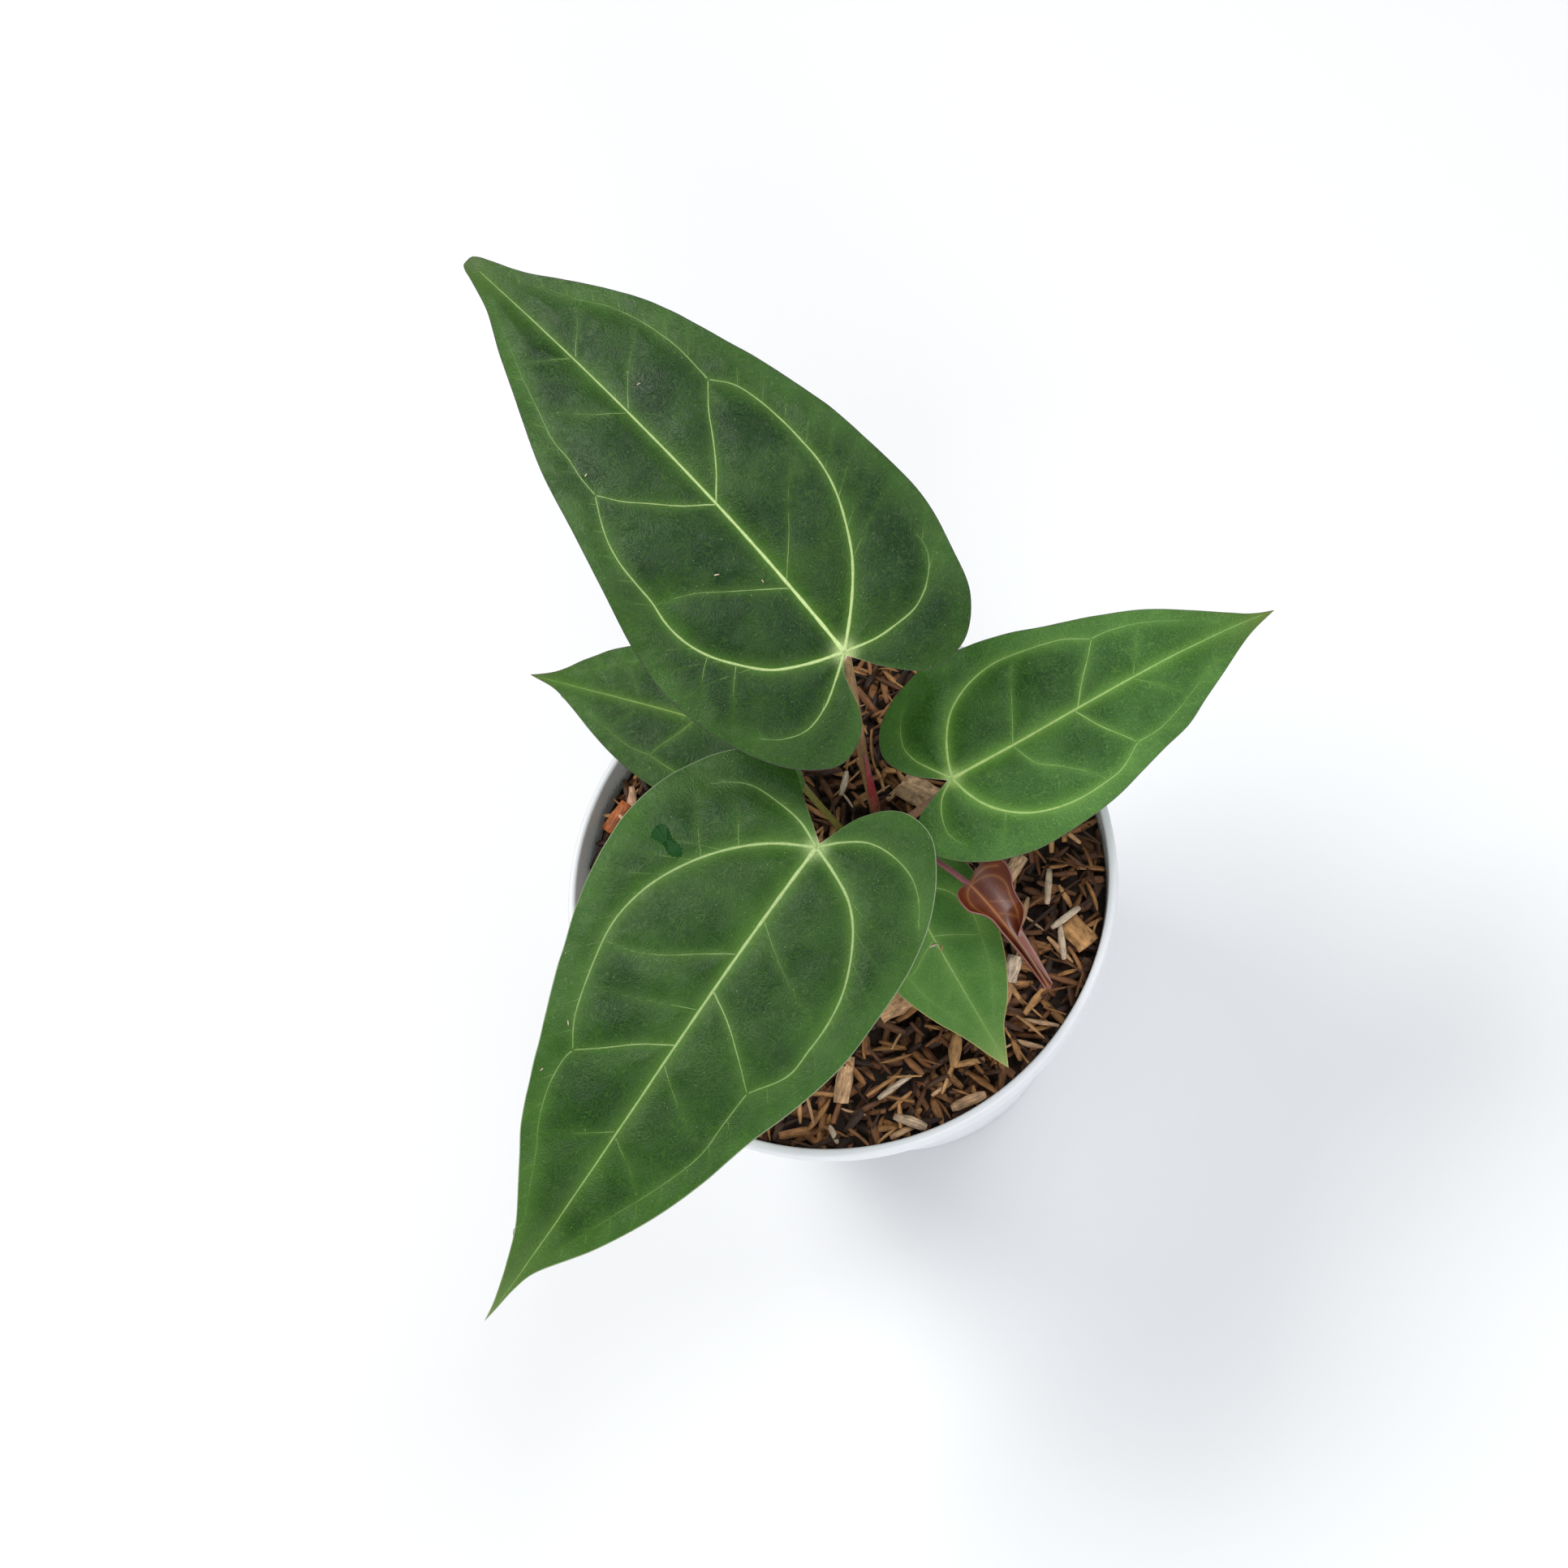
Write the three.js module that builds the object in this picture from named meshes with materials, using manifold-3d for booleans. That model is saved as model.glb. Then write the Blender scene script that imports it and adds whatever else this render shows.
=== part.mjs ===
// Potted anthurium: a white 15 cm nursery pot, its bark and husk mix, and a young plant with five
// grown heart-shaped leaves and one new leaf that is still half rolled.
// Millimetres, Z up. The origin is the centre of the pot's underside.
import * as THREE from "three";
import { mergeVertices } from "three/addons/utils/BufferGeometryUtils.js";
import Module from "manifold-3d";

const wasm = await Module();
wasm.setup();

// Clearance between two pieces that touch on the real plant.
const GAP = 0.35;

const POT = {
  height: 120,
  rimRadius: 75.5,
  mouthRadius: 73.3,
  lipHeight: 6.5,
  shoulderRadius: 74.2,
  wall: 1.6,
  footRadius: 50,
  footWidth: 6,
  hubRadius: 14,
  baseRecess: 2.5,
  floor: 2.2,
  ease: 0.8,
  segments: 56,
};
const DRAIN = { count: 6, radius: 4, ringRadius: 29, sides: 10 };

const MIX = { level: 113, relief: 0.9, cornerEase: 2, rings: 6, sectors: 32 };
const RIPPLE = { lengthX: 20, lengthY: 23, phaseX: 1.1, phaseY: -0.4, diagonal: 48, diagonalShare: 0.6 };
const CHIP = {
  count: 86,
  length: [13, 21],
  width: [5, 8.5],
  thickness: 3,
  tilt: 0.16,
  lift: 0.4,
  fromWall: 1.5,
  fromCrown: 11,
  seed: 23,
};

// The crown is where every petiole starts. It stands a little behind the pot's axis.
const CROWN = {
  centre: [8.8, 13.1],
  radius: 4.2,
  endRadius: 3,
  bottom: 104,
  top: 117,
  taper: 4,
  dome: 3,
  sides: 14,
};
const PETIOLE_FOOT = 108;
const TUBE = { steps: 14, halfSides: 4 };

// `keel` is the midrib's depth below the blade at the junction, and `keelFade` is the part of it that
// is lost by the tip. `fanStart` is the share of the margin that is joined to the midrib; the rest is
// joined to the junction. `crowdedRow` is how far the first row stands from the midrib.
const BLADE = { thickness: 0.7, keel: 0.8, keelFade: 0.8, fanStart: 0.58, sinus: -1.2, crowdedRow: 0.07 };

const GREEN = { velvet: 0x27432b, bright: 0x3f7a36, young: 0x4f8f3e };

// A leaf: `midrib` holds the four control points of the midrib's curve, from the junction with the
// petiole to the tip. `left` and `right` are the margin in [along, across] distances on the blade, from
// the tip to the sinus, seen along the midrib from the junction. `roll` turns the blade about its
// midrib in degrees, at the junction and at the tip. `fold` is the rise of the V, `arch` and `droop`
// bend the margins and the lobes down, and `wave` is the height of the margin's waves. `azimuth` is
// where the petiole's foot stands round the crown, and `bends` are the inner points of its curve.
const LEAVES = [
  {
    name: "leaf_1",
    midrib: [[17, 29, 206], [-12.6, 65.2, 224.9], [-48.7, 100.4, 234.2], [-81.5, 136.7, 222]],
    length: 149.4,
    left: [
      [131.4, 6.2], [117, 12.3], [104, 17.4], [84, 25.4], [66, 30.2], [50, 34.4], [34, 38.3], [20, 39.8],
      [7.4, 38.2], [-5.3, 33.3], [-15, 26.5], [-20.3, 17.5], [-18, 9.4], [-9, 4.7],
    ],
    right: [
      [131.6, 7.5], [113, 17], [98, 23.7], [82, 28], [66, 32.7], [50, 36], [33, 38], [17, 39.3],
      [4, 36.4], [-8, 32.4], [-15.6, 24.5], [-16.2, 14], [-9.9, 6.2],
    ],
    roll: [2, -4],
    fold: 0.05,
    arch: 0.0022,
    droop: 0.004,
    wave: { height: 1.1, length: 46, left: 0.6, right: 2.4, halfWidth: 40 },
    columns: 34,
    rows: 5,
    colour: GREEN.velvet,
    petiole: { radius: 1.4, azimuth: 80, bends: [[10.7, 23.6, 150], [15, 29.5, 178]] },
  },
  {
    name: "leaf_2",
    midrib: [[7.2, -12.4, 184], [-20.1, -51.8, 186.5], [-46.3, -92, 177.1], [-76.9, -122.4, 156]],
    length: 143.1,
    left: [
      [132, 1], [125, 2.8], [110, 11.8], [95.6, 19], [82, 24.1], [68, 27.9], [54.4, 32.7], [41.5, 36],
      [26.7, 36.7], [11.4, 36.3], [-0.3, 33.6], [-12.4, 26.9], [-18.7, 20.3], [-19.4, 12], [-13, 5],
    ],
    right: [
      [132.7, 2.6], [120.7, 6.6], [109, 13.1], [96.4, 21.2], [85.5, 25.6], [71, 31.1], [56.4, 37],
      [41.1, 41.8], [28.8, 43.6], [15.8, 44.4], [4.5, 41.2], [-6, 34.3], [-12.6, 26.4], [-13.6, 17.5],
      [-7.9, 9.4],
    ],
    roll: [-5, -9],
    fold: 0.05,
    arch: 0.0022,
    droop: 0.004,
    wave: { height: 1.1, length: 44, left: 1.2, right: 3.6, halfWidth: 44 },
    columns: 34,
    rows: 5,
    colour: GREEN.velvet,
    petiole: { radius: 1.4, azimuth: -93, bends: [[8.4, 5, 150], [8, -12.5, 168]] },
  },
  {
    name: "leaf_3",
    midrib: [[37.2, 11.7, 164], [66.1, 25.6, 166.2], [92.2, 44.5, 164], [118.4, 58.8, 152]],
    length: 95.5,
    left: [
      [87.3, 2], [75.2, 8.2], [64.7, 13.9], [53.8, 18.4], [42, 22], [31, 26.2], [19.5, 28.9], [6, 28.9],
      [-3.9, 25.8], [-10.7, 20.1], [-13, 13.1], [-9.3, 5.9],
    ],
    right: [
      [85.7, 3.7], [73.6, 10], [65.5, 14], [57.9, 17.8], [49.6, 19.9], [41.4, 22.3], [31, 25.2],
      [20.4, 26.3], [9.5, 26.4], [-1.5, 23.6], [-10.5, 17.8], [-14.2, 11.5], [-12.4, 6.2],
    ],
    roll: [6, 10],
    fold: 0.06,
    arch: 0.003,
    droop: 0.006,
    wave: { height: 0.9, length: 34, left: 0.3, right: 2, halfWidth: 30 },
    columns: 30,
    rows: 5,
    colour: GREEN.bright,
    petiole: { radius: 1.2, azimuth: -3, bends: [[17, 12.8, 135], [35, 12, 147]] },
  },
  {
    name: "leaf_4",
    midrib: [[-9.6, 25.9, 154], [-34.1, 36.4, 154.9], [-59.3, 43.2, 154.2], [-82.4, 53.4, 146]],
    length: 78.7,
    left: [
      [68.5, 2.2], [60.5, 6.2], [52.8, 10.8], [43.5, 15.8], [32.3, 20.2], [20, 22.6], [9, 22.8],
      [-1, 20], [-8.5, 14.5], [-11, 8.5], [-8, 3.8],
    ],
    right: [
      [68.1, 3.7], [60.9, 8.7], [53.5, 13], [43, 17], [31, 20.4], [19, 22.4], [8, 22.2], [-1, 19.4],
      [-8.5, 14], [-11, 8], [-8, 3.6],
    ],
    roll: [-6, -6],
    fold: 0.06,
    arch: 0.003,
    droop: 0.006,
    wave: { height: 0.7, length: 32, left: 0.9, right: 2.2, halfWidth: 26 },
    columns: 26,
    rows: 4,
    colour: GREEN.bright,
    petiole: { radius: 1, azimuth: 175, bends: [[1.5, 13.5, 130], [-5, 15.5, 148]] },
  },
  {
    name: "leaf_5",
    midrib: [[22.6, -9.9, 139], [31, -25.5, 137.1], [39.5, -39.6, 131.8], [47.4, -53.4, 124]],
    length: 52.6,
    left: [
      [47.9, 2], [42, 4.8], [37.5, 8.4], [30.8, 12.2], [22.5, 15.3], [12.8, 16.9], [4, 17.6], [-3.5, 15.2],
      [-7.5, 10.5], [-7.8, 5.8], [-4.6, 2.6],
    ],
    right: [
      [47.8, 2.5], [40.2, 6.1], [33.3, 10.2], [25.4, 13.8], [17, 16.4], [8, 17.3], [0, 16], [-6.2, 12],
      [-8.2, 7], [-5, 2.8],
    ],
    roll: [0, 4],
    fold: 0.08,
    arch: 0.004,
    droop: 0.008,
    wave: { height: 0.5, length: 26, left: 0.4, right: 2.8, halfWidth: 20 },
    columns: 24,
    rows: 4,
    colour: GREEN.young,
    petiole: { radius: 0.9, azimuth: -64, bends: [[13, 5, 124], [21.5, -7, 128]] },
  },
];

// The new leaf: as above, but each half also rolls up into the tube of its tip. `curl` is the
// radius of the roll in the open part and in the tube.
const NEW_LEAF = {
  name: "leaf_new",
  midrib: [[39.8, -10.5, 149], [48.5, -18.2, 144.6], [54, -26.8, 138], [58.7, -34.4, 130]],
  length: 36,
  left: [[31, 1.6], [25, 2.6], [20, 4.2], [16, 7.2], [11, 8.2], [6, 9.2], [1, 9], [-2.4, 6.6], [-2.6, 3.2]],
  right: [[31, 1.2], [25, 2], [19, 3.2], [13, 4.4], [8, 5], [4, 5.6], [0, 4.6], [-1.8, 2.6]],
  curl: { left: [14, 1], right: [5, 1], leftFrom: 12, rightFrom: 3, over: 9 },
  columns: 24,
  rows: 6,
  thickness: 0.6,
  sinus: -0.6,
  colour: 0x6b2a17,
  petiole: { radius: 0.8, azimuth: -37, bends: [[14, 9.3, 140], [29, -2, 148]] },
};

// The cataphyll runs between two shares of its petiole's length and narrows to its tip. Angles in degrees.
const CATAPHYLL = {
  bottom: 0.12,
  top: 0.5,
  halfAngle: 70,
  tipHalfAngle: 8,
  narrowing: 0.6,
  facing: -60,
  thickness: 0.7,
  columns: 6,
  rows: 8,
};

// Materials, by the finish of each piece.
const plastic = new THREE.MeshStandardMaterial({ color: 0xf1f2f5, roughness: 0.35, metalness: 0 });
const bark = new THREE.MeshStandardMaterial({ color: 0x7d5433, roughness: 0.9, metalness: 0 });
const stem = new THREE.MeshStandardMaterial({ color: 0x6e5a33, roughness: 0.6, metalness: 0 });
const sheath = new THREE.MeshStandardMaterial({ color: 0xb64a5c, roughness: 0.5, metalness: 0 });

function leafMaterial(colour) {
  return new THREE.MeshStandardMaterial({ color: colour, roughness: 0.6, metalness: 0 });
}

// Seeded random numbers from 0 to 1.
function randomNumbers(seed) {
  let state = seed >>> 0;
  return () => {
    state = (state + 0x6d2b79f5) >>> 0;
    let t = Math.imul(state ^ (state >>> 15), 1 | state);
    t = (t + Math.imul(t ^ (t >>> 7), 61 | t)) ^ t;
    return ((t ^ (t >>> 14)) >>> 0) / 4294967296;
  };
}

// Joins equal vertices and drops the triangles that have shrunk to a line.
function closedGeometry(geometry) {
  const bare = geometry.clone();
  bare.deleteAttribute("normal");
  bare.deleteAttribute("uv");
  const merged = mergeVertices(bare, 1e-4);
  const kept = [];
  const index = merged.index.array;
  for (let i = 0; i < index.length; i += 3) {
    const [a, b, c] = [index[i], index[i + 1], index[i + 2]];
    if (a !== b && b !== c && c !== a) kept.push(a, b, c);
  }
  merged.setIndex(kept);
  return merged;
}

function solidOf(geometry) {
  const closed = closedGeometry(geometry);
  const mesh = new wasm.Mesh({
    numProp: 3,
    vertProperties: closed.attributes.position.array,
    triVerts: new Uint32Array(closed.index.array),
  });
  return new wasm.Manifold(mesh);
}

function geometryOf(solid) {
  const mesh = solid.getMesh();
  const geometry = new THREE.BufferGeometry();
  geometry.setAttribute("position", new THREE.BufferAttribute(mesh.vertProperties, 3));
  geometry.setIndex(new THREE.BufferAttribute(mesh.triVerts, 1));
  geometry.computeVertexNormals();
  return geometry;
}

// The outer body alone, without cut-off scraps or pockets sealed between chips.
function largestBody(solid) {
  return solid.decompose().reduce((best, body) => (body.volume() > best.volume() ? body : best));
}

function namedMesh(name, geometry, material) {
  const mesh = new THREE.Mesh(geometry, material);
  mesh.name = name;
  return mesh;
}

// Radius of the pot's inner wall at a height.
function innerRadius(z) {
  const shoulder = POT.height - POT.lipHeight;
  return POT.footRadius + ((POT.shoulderRadius - POT.footRadius) * z) / shoulder - POT.wall;
}

function upright(radius, bottom, top, sides, x, y) {
  const cylinder = new THREE.CylinderGeometry(radius, radius, top - bottom, sides);
  cylinder.rotateX(Math.PI / 2);
  cylinder.translate(x, y, (bottom + top) / 2);
  return cylinder;
}

// The pot: a thin tapered wall with a rolled lip, a foot ring, and a hub that the drain holes surround.
function potGeometry() {
  const { height, rimRadius, mouthRadius, lipHeight, shoulderRadius, footRadius } = POT;
  const { footWidth, hubRadius, baseRecess, floor, ease } = POT;
  const lip = height - lipHeight;
  const inside = baseRecess + floor;
  const profile = [
    [0, 0],
    [hubRadius, 0],
    [hubRadius + ease, baseRecess],
    [footRadius - footWidth - ease, baseRecess],
    [footRadius - footWidth, 0],
    [footRadius, 0],
    [footRadius + ease, ease],
    [shoulderRadius, lip],
    [rimRadius - ease, lip + ease],
    [rimRadius, lip + 2 * ease],
    [rimRadius, height - ease],
    [rimRadius - ease, height],
    [mouthRadius + ease / 2, height],
    [mouthRadius, height - ease],
    [innerRadius(lip), lip],
    [innerRadius(inside + ease), inside + ease],
    [innerRadius(inside) - ease, inside],
    [0, inside],
  ];
  const points = profile.map(([r, z]) => new THREE.Vector2(r, z));
  const lathe = new THREE.LatheGeometry(points, POT.segments);
  lathe.rotateX(Math.PI / 2);
  let solid = solidOf(lathe);
  for (let i = 0; i < DRAIN.count; i += 1) {
    const angle = (i * 2 * Math.PI) / DRAIN.count;
    const x = DRAIN.ringRadius * Math.cos(angle);
    const y = DRAIN.ringRadius * Math.sin(angle);
    solid = solid.subtract(solidOf(upright(DRAIN.radius, -1, inside + 1, DRAIN.sides, x, y)));
  }
  return geometryOf(solid);
}

// Height of the mix's surface: low ripples that fade out at the wall.
function mixHeight(x, y) {
  const edge = innerRadius(MIX.level);
  const fade = 1 - (Math.hypot(x, y) / edge) ** 4;
  const turn = 2 * Math.PI;
  const acrossX = Math.sin((turn * x) / RIPPLE.lengthX + RIPPLE.phaseX);
  const acrossY = Math.cos((turn * y) / RIPPLE.lengthY + RIPPLE.phaseY);
  const diagonal = Math.sin((turn * (x + 2 * y)) / RIPPLE.diagonal);
  return MIX.level + MIX.relief * (acrossX * acrossY + RIPPLE.diagonalShare * diagonal) * fade;
}

// The filling without its chips: ripples on top, and the pot's taper below.
function fillingGeometry() {
  const { rings, sectors, level, cornerEase } = MIX;
  const floorLevel = POT.baseRecess + POT.floor + GAP;
  const wallLevel = floorLevel + cornerEase;
  const rows = [[0, floorLevel], [innerRadius(floorLevel) - cornerEase, floorLevel]];
  rows.push([innerRadius(wallLevel) - GAP, wallLevel], [innerRadius(level) - GAP, level]);
  for (let i = rings - 1; i >= 0; i -= 1) {
    rows.push([((innerRadius(level) - GAP) * i) / rings, null]);
  }
  const position = [];
  for (const [radius, z] of rows) {
    for (let k = 0; k < sectors; k += 1) {
      const angle = (k * 2 * Math.PI) / sectors;
      const x = radius * Math.cos(angle);
      const y = radius * Math.sin(angle);
      position.push(x, y, z === null ? mixHeight(x, y) : z);
    }
  }
  const index = [];
  for (let row = 0; row < rows.length - 1; row += 1) {
    for (let k = 0; k < sectors; k += 1) {
      const next = (k + 1) % sectors;
      const [a, b] = [row * sectors + k, row * sectors + next];
      const [c, d] = [a + sectors, b + sectors];
      index.push(a, b, d, a, d, c);
    }
  }
  const geometry = new THREE.BufferGeometry();
  geometry.setAttribute("position", new THREE.Float32BufferAttribute(position, 3));
  geometry.setIndex(index);
  return geometry;
}

// Bark and husk chips lie on the surface in a sunflower pattern, turned and tilted at random.
function chipGeometries() {
  const random = randomNumbers(CHIP.seed);
  const between = ([low, high]) => low + (high - low) * random();
  const golden = Math.PI * (3 - Math.sqrt(5));
  const chips = [];
  for (let i = 0; i < CHIP.count; i += 1) {
    const length = between(CHIP.length);
    const reach = innerRadius(MIX.level) - CHIP.fromWall - length / 2;
    const radius = Math.min(reach, innerRadius(MIX.level) * Math.sqrt((i + 0.5) / CHIP.count));
    const angle = i * golden;
    const [x, y] = [radius * Math.cos(angle), radius * Math.sin(angle)];
    const chip = new THREE.BoxGeometry(length, between(CHIP.width), CHIP.thickness);
    chip.rotateX(CHIP.tilt * (random() - 0.5) * 2);
    chip.rotateY(CHIP.tilt * (random() - 0.5) * 2);
    chip.rotateZ(random() * Math.PI);
    chip.translate(x, y, mixHeight(x, y) + CHIP.lift * random());
    const away = Math.hypot(x - CROWN.centre[0], y - CROWN.centre[1]);
    if (away > CHIP.fromCrown + length / 2) chips.push(chip);
  }
  return chips;
}

function petioleFoot(petiole) {
  const angle = THREE.MathUtils.degToRad(petiole.azimuth);
  const distance = CROWN.radius + GAP + petiole.radius;
  const [x, y] = CROWN.centre;
  return [x + distance * Math.cos(angle), y + distance * Math.sin(angle)];
}

// The potting mix, with a plain hole for the crown and for each petiole's foot.
function mixGeometry(leaves) {
  const chips = chipGeometries().map(solidOf);
  let solid = wasm.Manifold.union([solidOf(fillingGeometry()), ...chips]);
  const { radius, bottom, top, sides, centre } = CROWN;
  const crownHole = upright(radius + GAP, bottom - GAP, top + GAP, sides, centre[0], centre[1]);
  solid = solid.subtract(solidOf(crownHole));
  for (const leaf of leaves) {
    const hole = tubeAlong(petioleCurve(leaf, PETIOLE_FOOT - GAP), leaf.petiole.radius + GAP);
    solid = solid.subtract(solidOf(hole));
  }
  return geometryOf(largestBody(solid));
}

// The crown is the short stem: a peg with a domed top.
function crownGeometry() {
  const { radius, endRadius, bottom, taper, dome, top, sides, centre } = CROWN;
  const profile = [[0, bottom], [endRadius, bottom], [radius, bottom + taper], [radius, top - dome]];
  profile.push([endRadius, top - dome / 3], [0, top]);
  const points = profile.map(([r, z]) => new THREE.Vector2(r, z));
  const lathe = new THREE.LatheGeometry(points, sides);
  lathe.rotateX(Math.PI / 2);
  lathe.translate(centre[0], centre[1], 0);
  return geometryOf(solidOf(lathe));
}

const vector = ([x, y, z]) => new THREE.Vector3(x, y, z);

// The blade's frame at a distance along the midrib: point, direction, left-hand side and normal.
function midribFrame(leaf, along) {
  const curve = new THREE.CubicBezierCurve3(...leaf.midrib.map(vector));
  const t = THREE.MathUtils.clamp(along / leaf.length, 0, 1);
  const tangent = curve.getTangent(t);
  const point = curve.getPoint(t);
  if (along < 0) point.addScaledVector(tangent, along);
  const side = new THREE.Vector3(0, 0, 1).cross(tangent).normalize();
  const normal = tangent.clone().cross(side);
  const [rollStart, rollEnd] = leaf.roll ?? [0, 0];
  const roll = THREE.MathUtils.degToRad(rollStart + (rollEnd - rollStart) * t);
  const turned = side.clone().multiplyScalar(Math.cos(roll)).addScaledVector(normal, Math.sin(roll));
  return { point, tangent, side: turned, normal: tangent.clone().cross(turned) };
}

// A grown blade's upper surface: a shallow V along the midrib whose margins arch down and wave.
function grownSurface(leaf) {
  const { fold, arch, droop, wave } = leaf;
  return (along, across) => {
    const { point, side, normal } = midribFrame(leaf, along);
    const distance = Math.abs(across);
    const back = Math.max(0, -along);
    const phase = across > 0 ? wave.left : wave.right;
    const swing = Math.sin((2 * Math.PI * along) / wave.length + phase);
    let height = fold * distance - arch * distance ** 2 - droop * back ** 2;
    height += wave.height * swing * (distance / wave.halfWidth) ** 2;
    const position = point.addScaledVector(side, across).addScaledVector(normal, height);
    return { position, normal };
  };
}

// The new blade's upper surface: each half is an arc whose radius shrinks from the open lobe to
// the tube of the tip.
function rolledSurface(leaf) {
  const { curl } = leaf;
  return (along, across) => {
    const { point, side, normal } = midribFrame(leaf, along);
    const left = across > 0;
    const [open, tube] = left ? curl.left : curl.right;
    const from = left ? curl.leftFrom : curl.rightFrom;
    const closing = THREE.MathUtils.smoothstep(along, from, from + curl.over);
    const radius = 1 / (1 / open + (1 / tube - 1 / open) * closing);
    const angle = Math.abs(across) / radius;
    const outward = Math.sign(across) * radius * Math.sin(angle);
    const position = point.addScaledVector(side, outward);
    position.addScaledVector(normal, radius * (1 - Math.cos(angle)));
    const inward = side.clone().multiplyScalar(-Math.sign(across) * Math.sin(angle));
    return { position, normal: inward.addScaledVector(normal, Math.cos(angle)) };
  };
}

// Depth of the blade under the midrib. The new leaf has no keel.
function bladeDepth(leaf, along) {
  const thickness = leaf.thickness ?? BLADE.thickness;
  if (leaf.curl) return thickness;
  return thickness + BLADE.keel * (1 - (BLADE.keelFade * along) / leaf.length);
}

// A blade as a closed solid. Each half is a net of lines that run from the midrib forward to the
// margin, or from the junction into the lobe, alike on both faces.
function bladeGeometry(leaf, surface) {
  const sinus = leaf.sinus ?? BLADE.sinus;
  const thickness = leaf.thickness ?? BLADE.thickness;
  const rowPlace = (row) => {
    if (row === 0) return 0;
    return BLADE.crowdedRow + ((1 - BLADE.crowdedRow) * (row - 1)) / (leaf.rows - 1);
  };
  const position = [];
  const index = [];
  for (const hand of [1, -1]) {
    const outline = hand > 0 ? leaf.left : leaf.right;
    const points = [[leaf.length, 0], ...outline, [sinus, 0]].map(([u, v]) => new THREE.Vector3(u, v, 0));
    const margin = new THREE.CatmullRomCurve3(points, false, "centripetal").getSpacedPoints(leaf.columns);
    const first = position.length / 3;
    for (const [column, edge] of margin.entries()) {
      const spine = leaf.length * Math.max(0, 1 - column / (BLADE.fanStart * leaf.columns));
      for (let row = 0; row <= leaf.rows; row += 1) {
        const t = rowPlace(row);
        const along = spine + (edge.x - spine) * t;
        const { position: top, normal } = surface(along, hand * edge.y * t);
        const depth = row === 0 ? bladeDepth(leaf, spine) : thickness;
        const under = top.clone().addScaledVector(normal, -depth);
        position.push(top.x, top.y, top.z, under.x, under.y, under.z);
      }
    }
    const vertex = (column, row, face) => first + 2 * (column * (leaf.rows + 1) + row) + face;
    const triangle = (a, b, c) => (hand > 0 ? index.push(a, b, c) : index.push(a, c, b));
    for (let column = 0; column < leaf.columns; column += 1) {
      for (let row = 0; row < leaf.rows; row += 1) {
        const corners = (face) => [
          vertex(column, row, face),
          vertex(column, row + 1, face),
          vertex(column + 1, row + 1, face),
          vertex(column + 1, row, face),
        ];
        const [a, d, c, b] = corners(0);
        const [e, h, g, f] = corners(1);
        triangle(a, d, c);
        triangle(a, c, b);
        triangle(e, g, h);
        triangle(e, f, g);
      }
      const [p, q] = [vertex(column, leaf.rows, 0), vertex(column + 1, leaf.rows, 0)];
      triangle(p, p + 1, q + 1);
      triangle(p, q + 1, q);
    }
  }
  const geometry = new THREE.BufferGeometry();
  geometry.setAttribute("position", new THREE.Float32BufferAttribute(position, 3));
  geometry.setIndex(index);
  return geometryOf(solidOf(geometry));
}

// A petiole rises from its foot at the crown and ends a clearance below the junction.
function petioleCurve(leaf, foot = PETIOLE_FOOT) {
  const { petiole } = leaf;
  const { point, normal } = midribFrame(leaf, 0);
  const [x, y] = petioleFoot(petiole);
  const bends = petiole.bends.map(vector);
  const arrival = point.clone().sub(bends[1]).normalize();
  const lean = Math.sqrt(1 - arrival.dot(normal) ** 2);
  const end = point.addScaledVector(normal, -bladeDepth(leaf, 0) - GAP - petiole.radius * lean);
  return new THREE.CubicBezierCurve3(new THREE.Vector3(x, y, foot), ...bends, end);
}

function tubeAlong(curve, radius) {
  const section = new THREE.Shape();
  section.absarc(0, 0, radius, 0, 2 * Math.PI);
  return new THREE.ExtrudeGeometry(section, {
    steps: TUBE.steps,
    curveSegments: TUBE.halfSides,
    bevelEnabled: false,
    extrudePath: curve,
  });
}

function petioleGeometry(leaf) {
  return geometryOf(solidOf(tubeAlong(petioleCurve(leaf), leaf.petiole.radius)));
}

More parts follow.
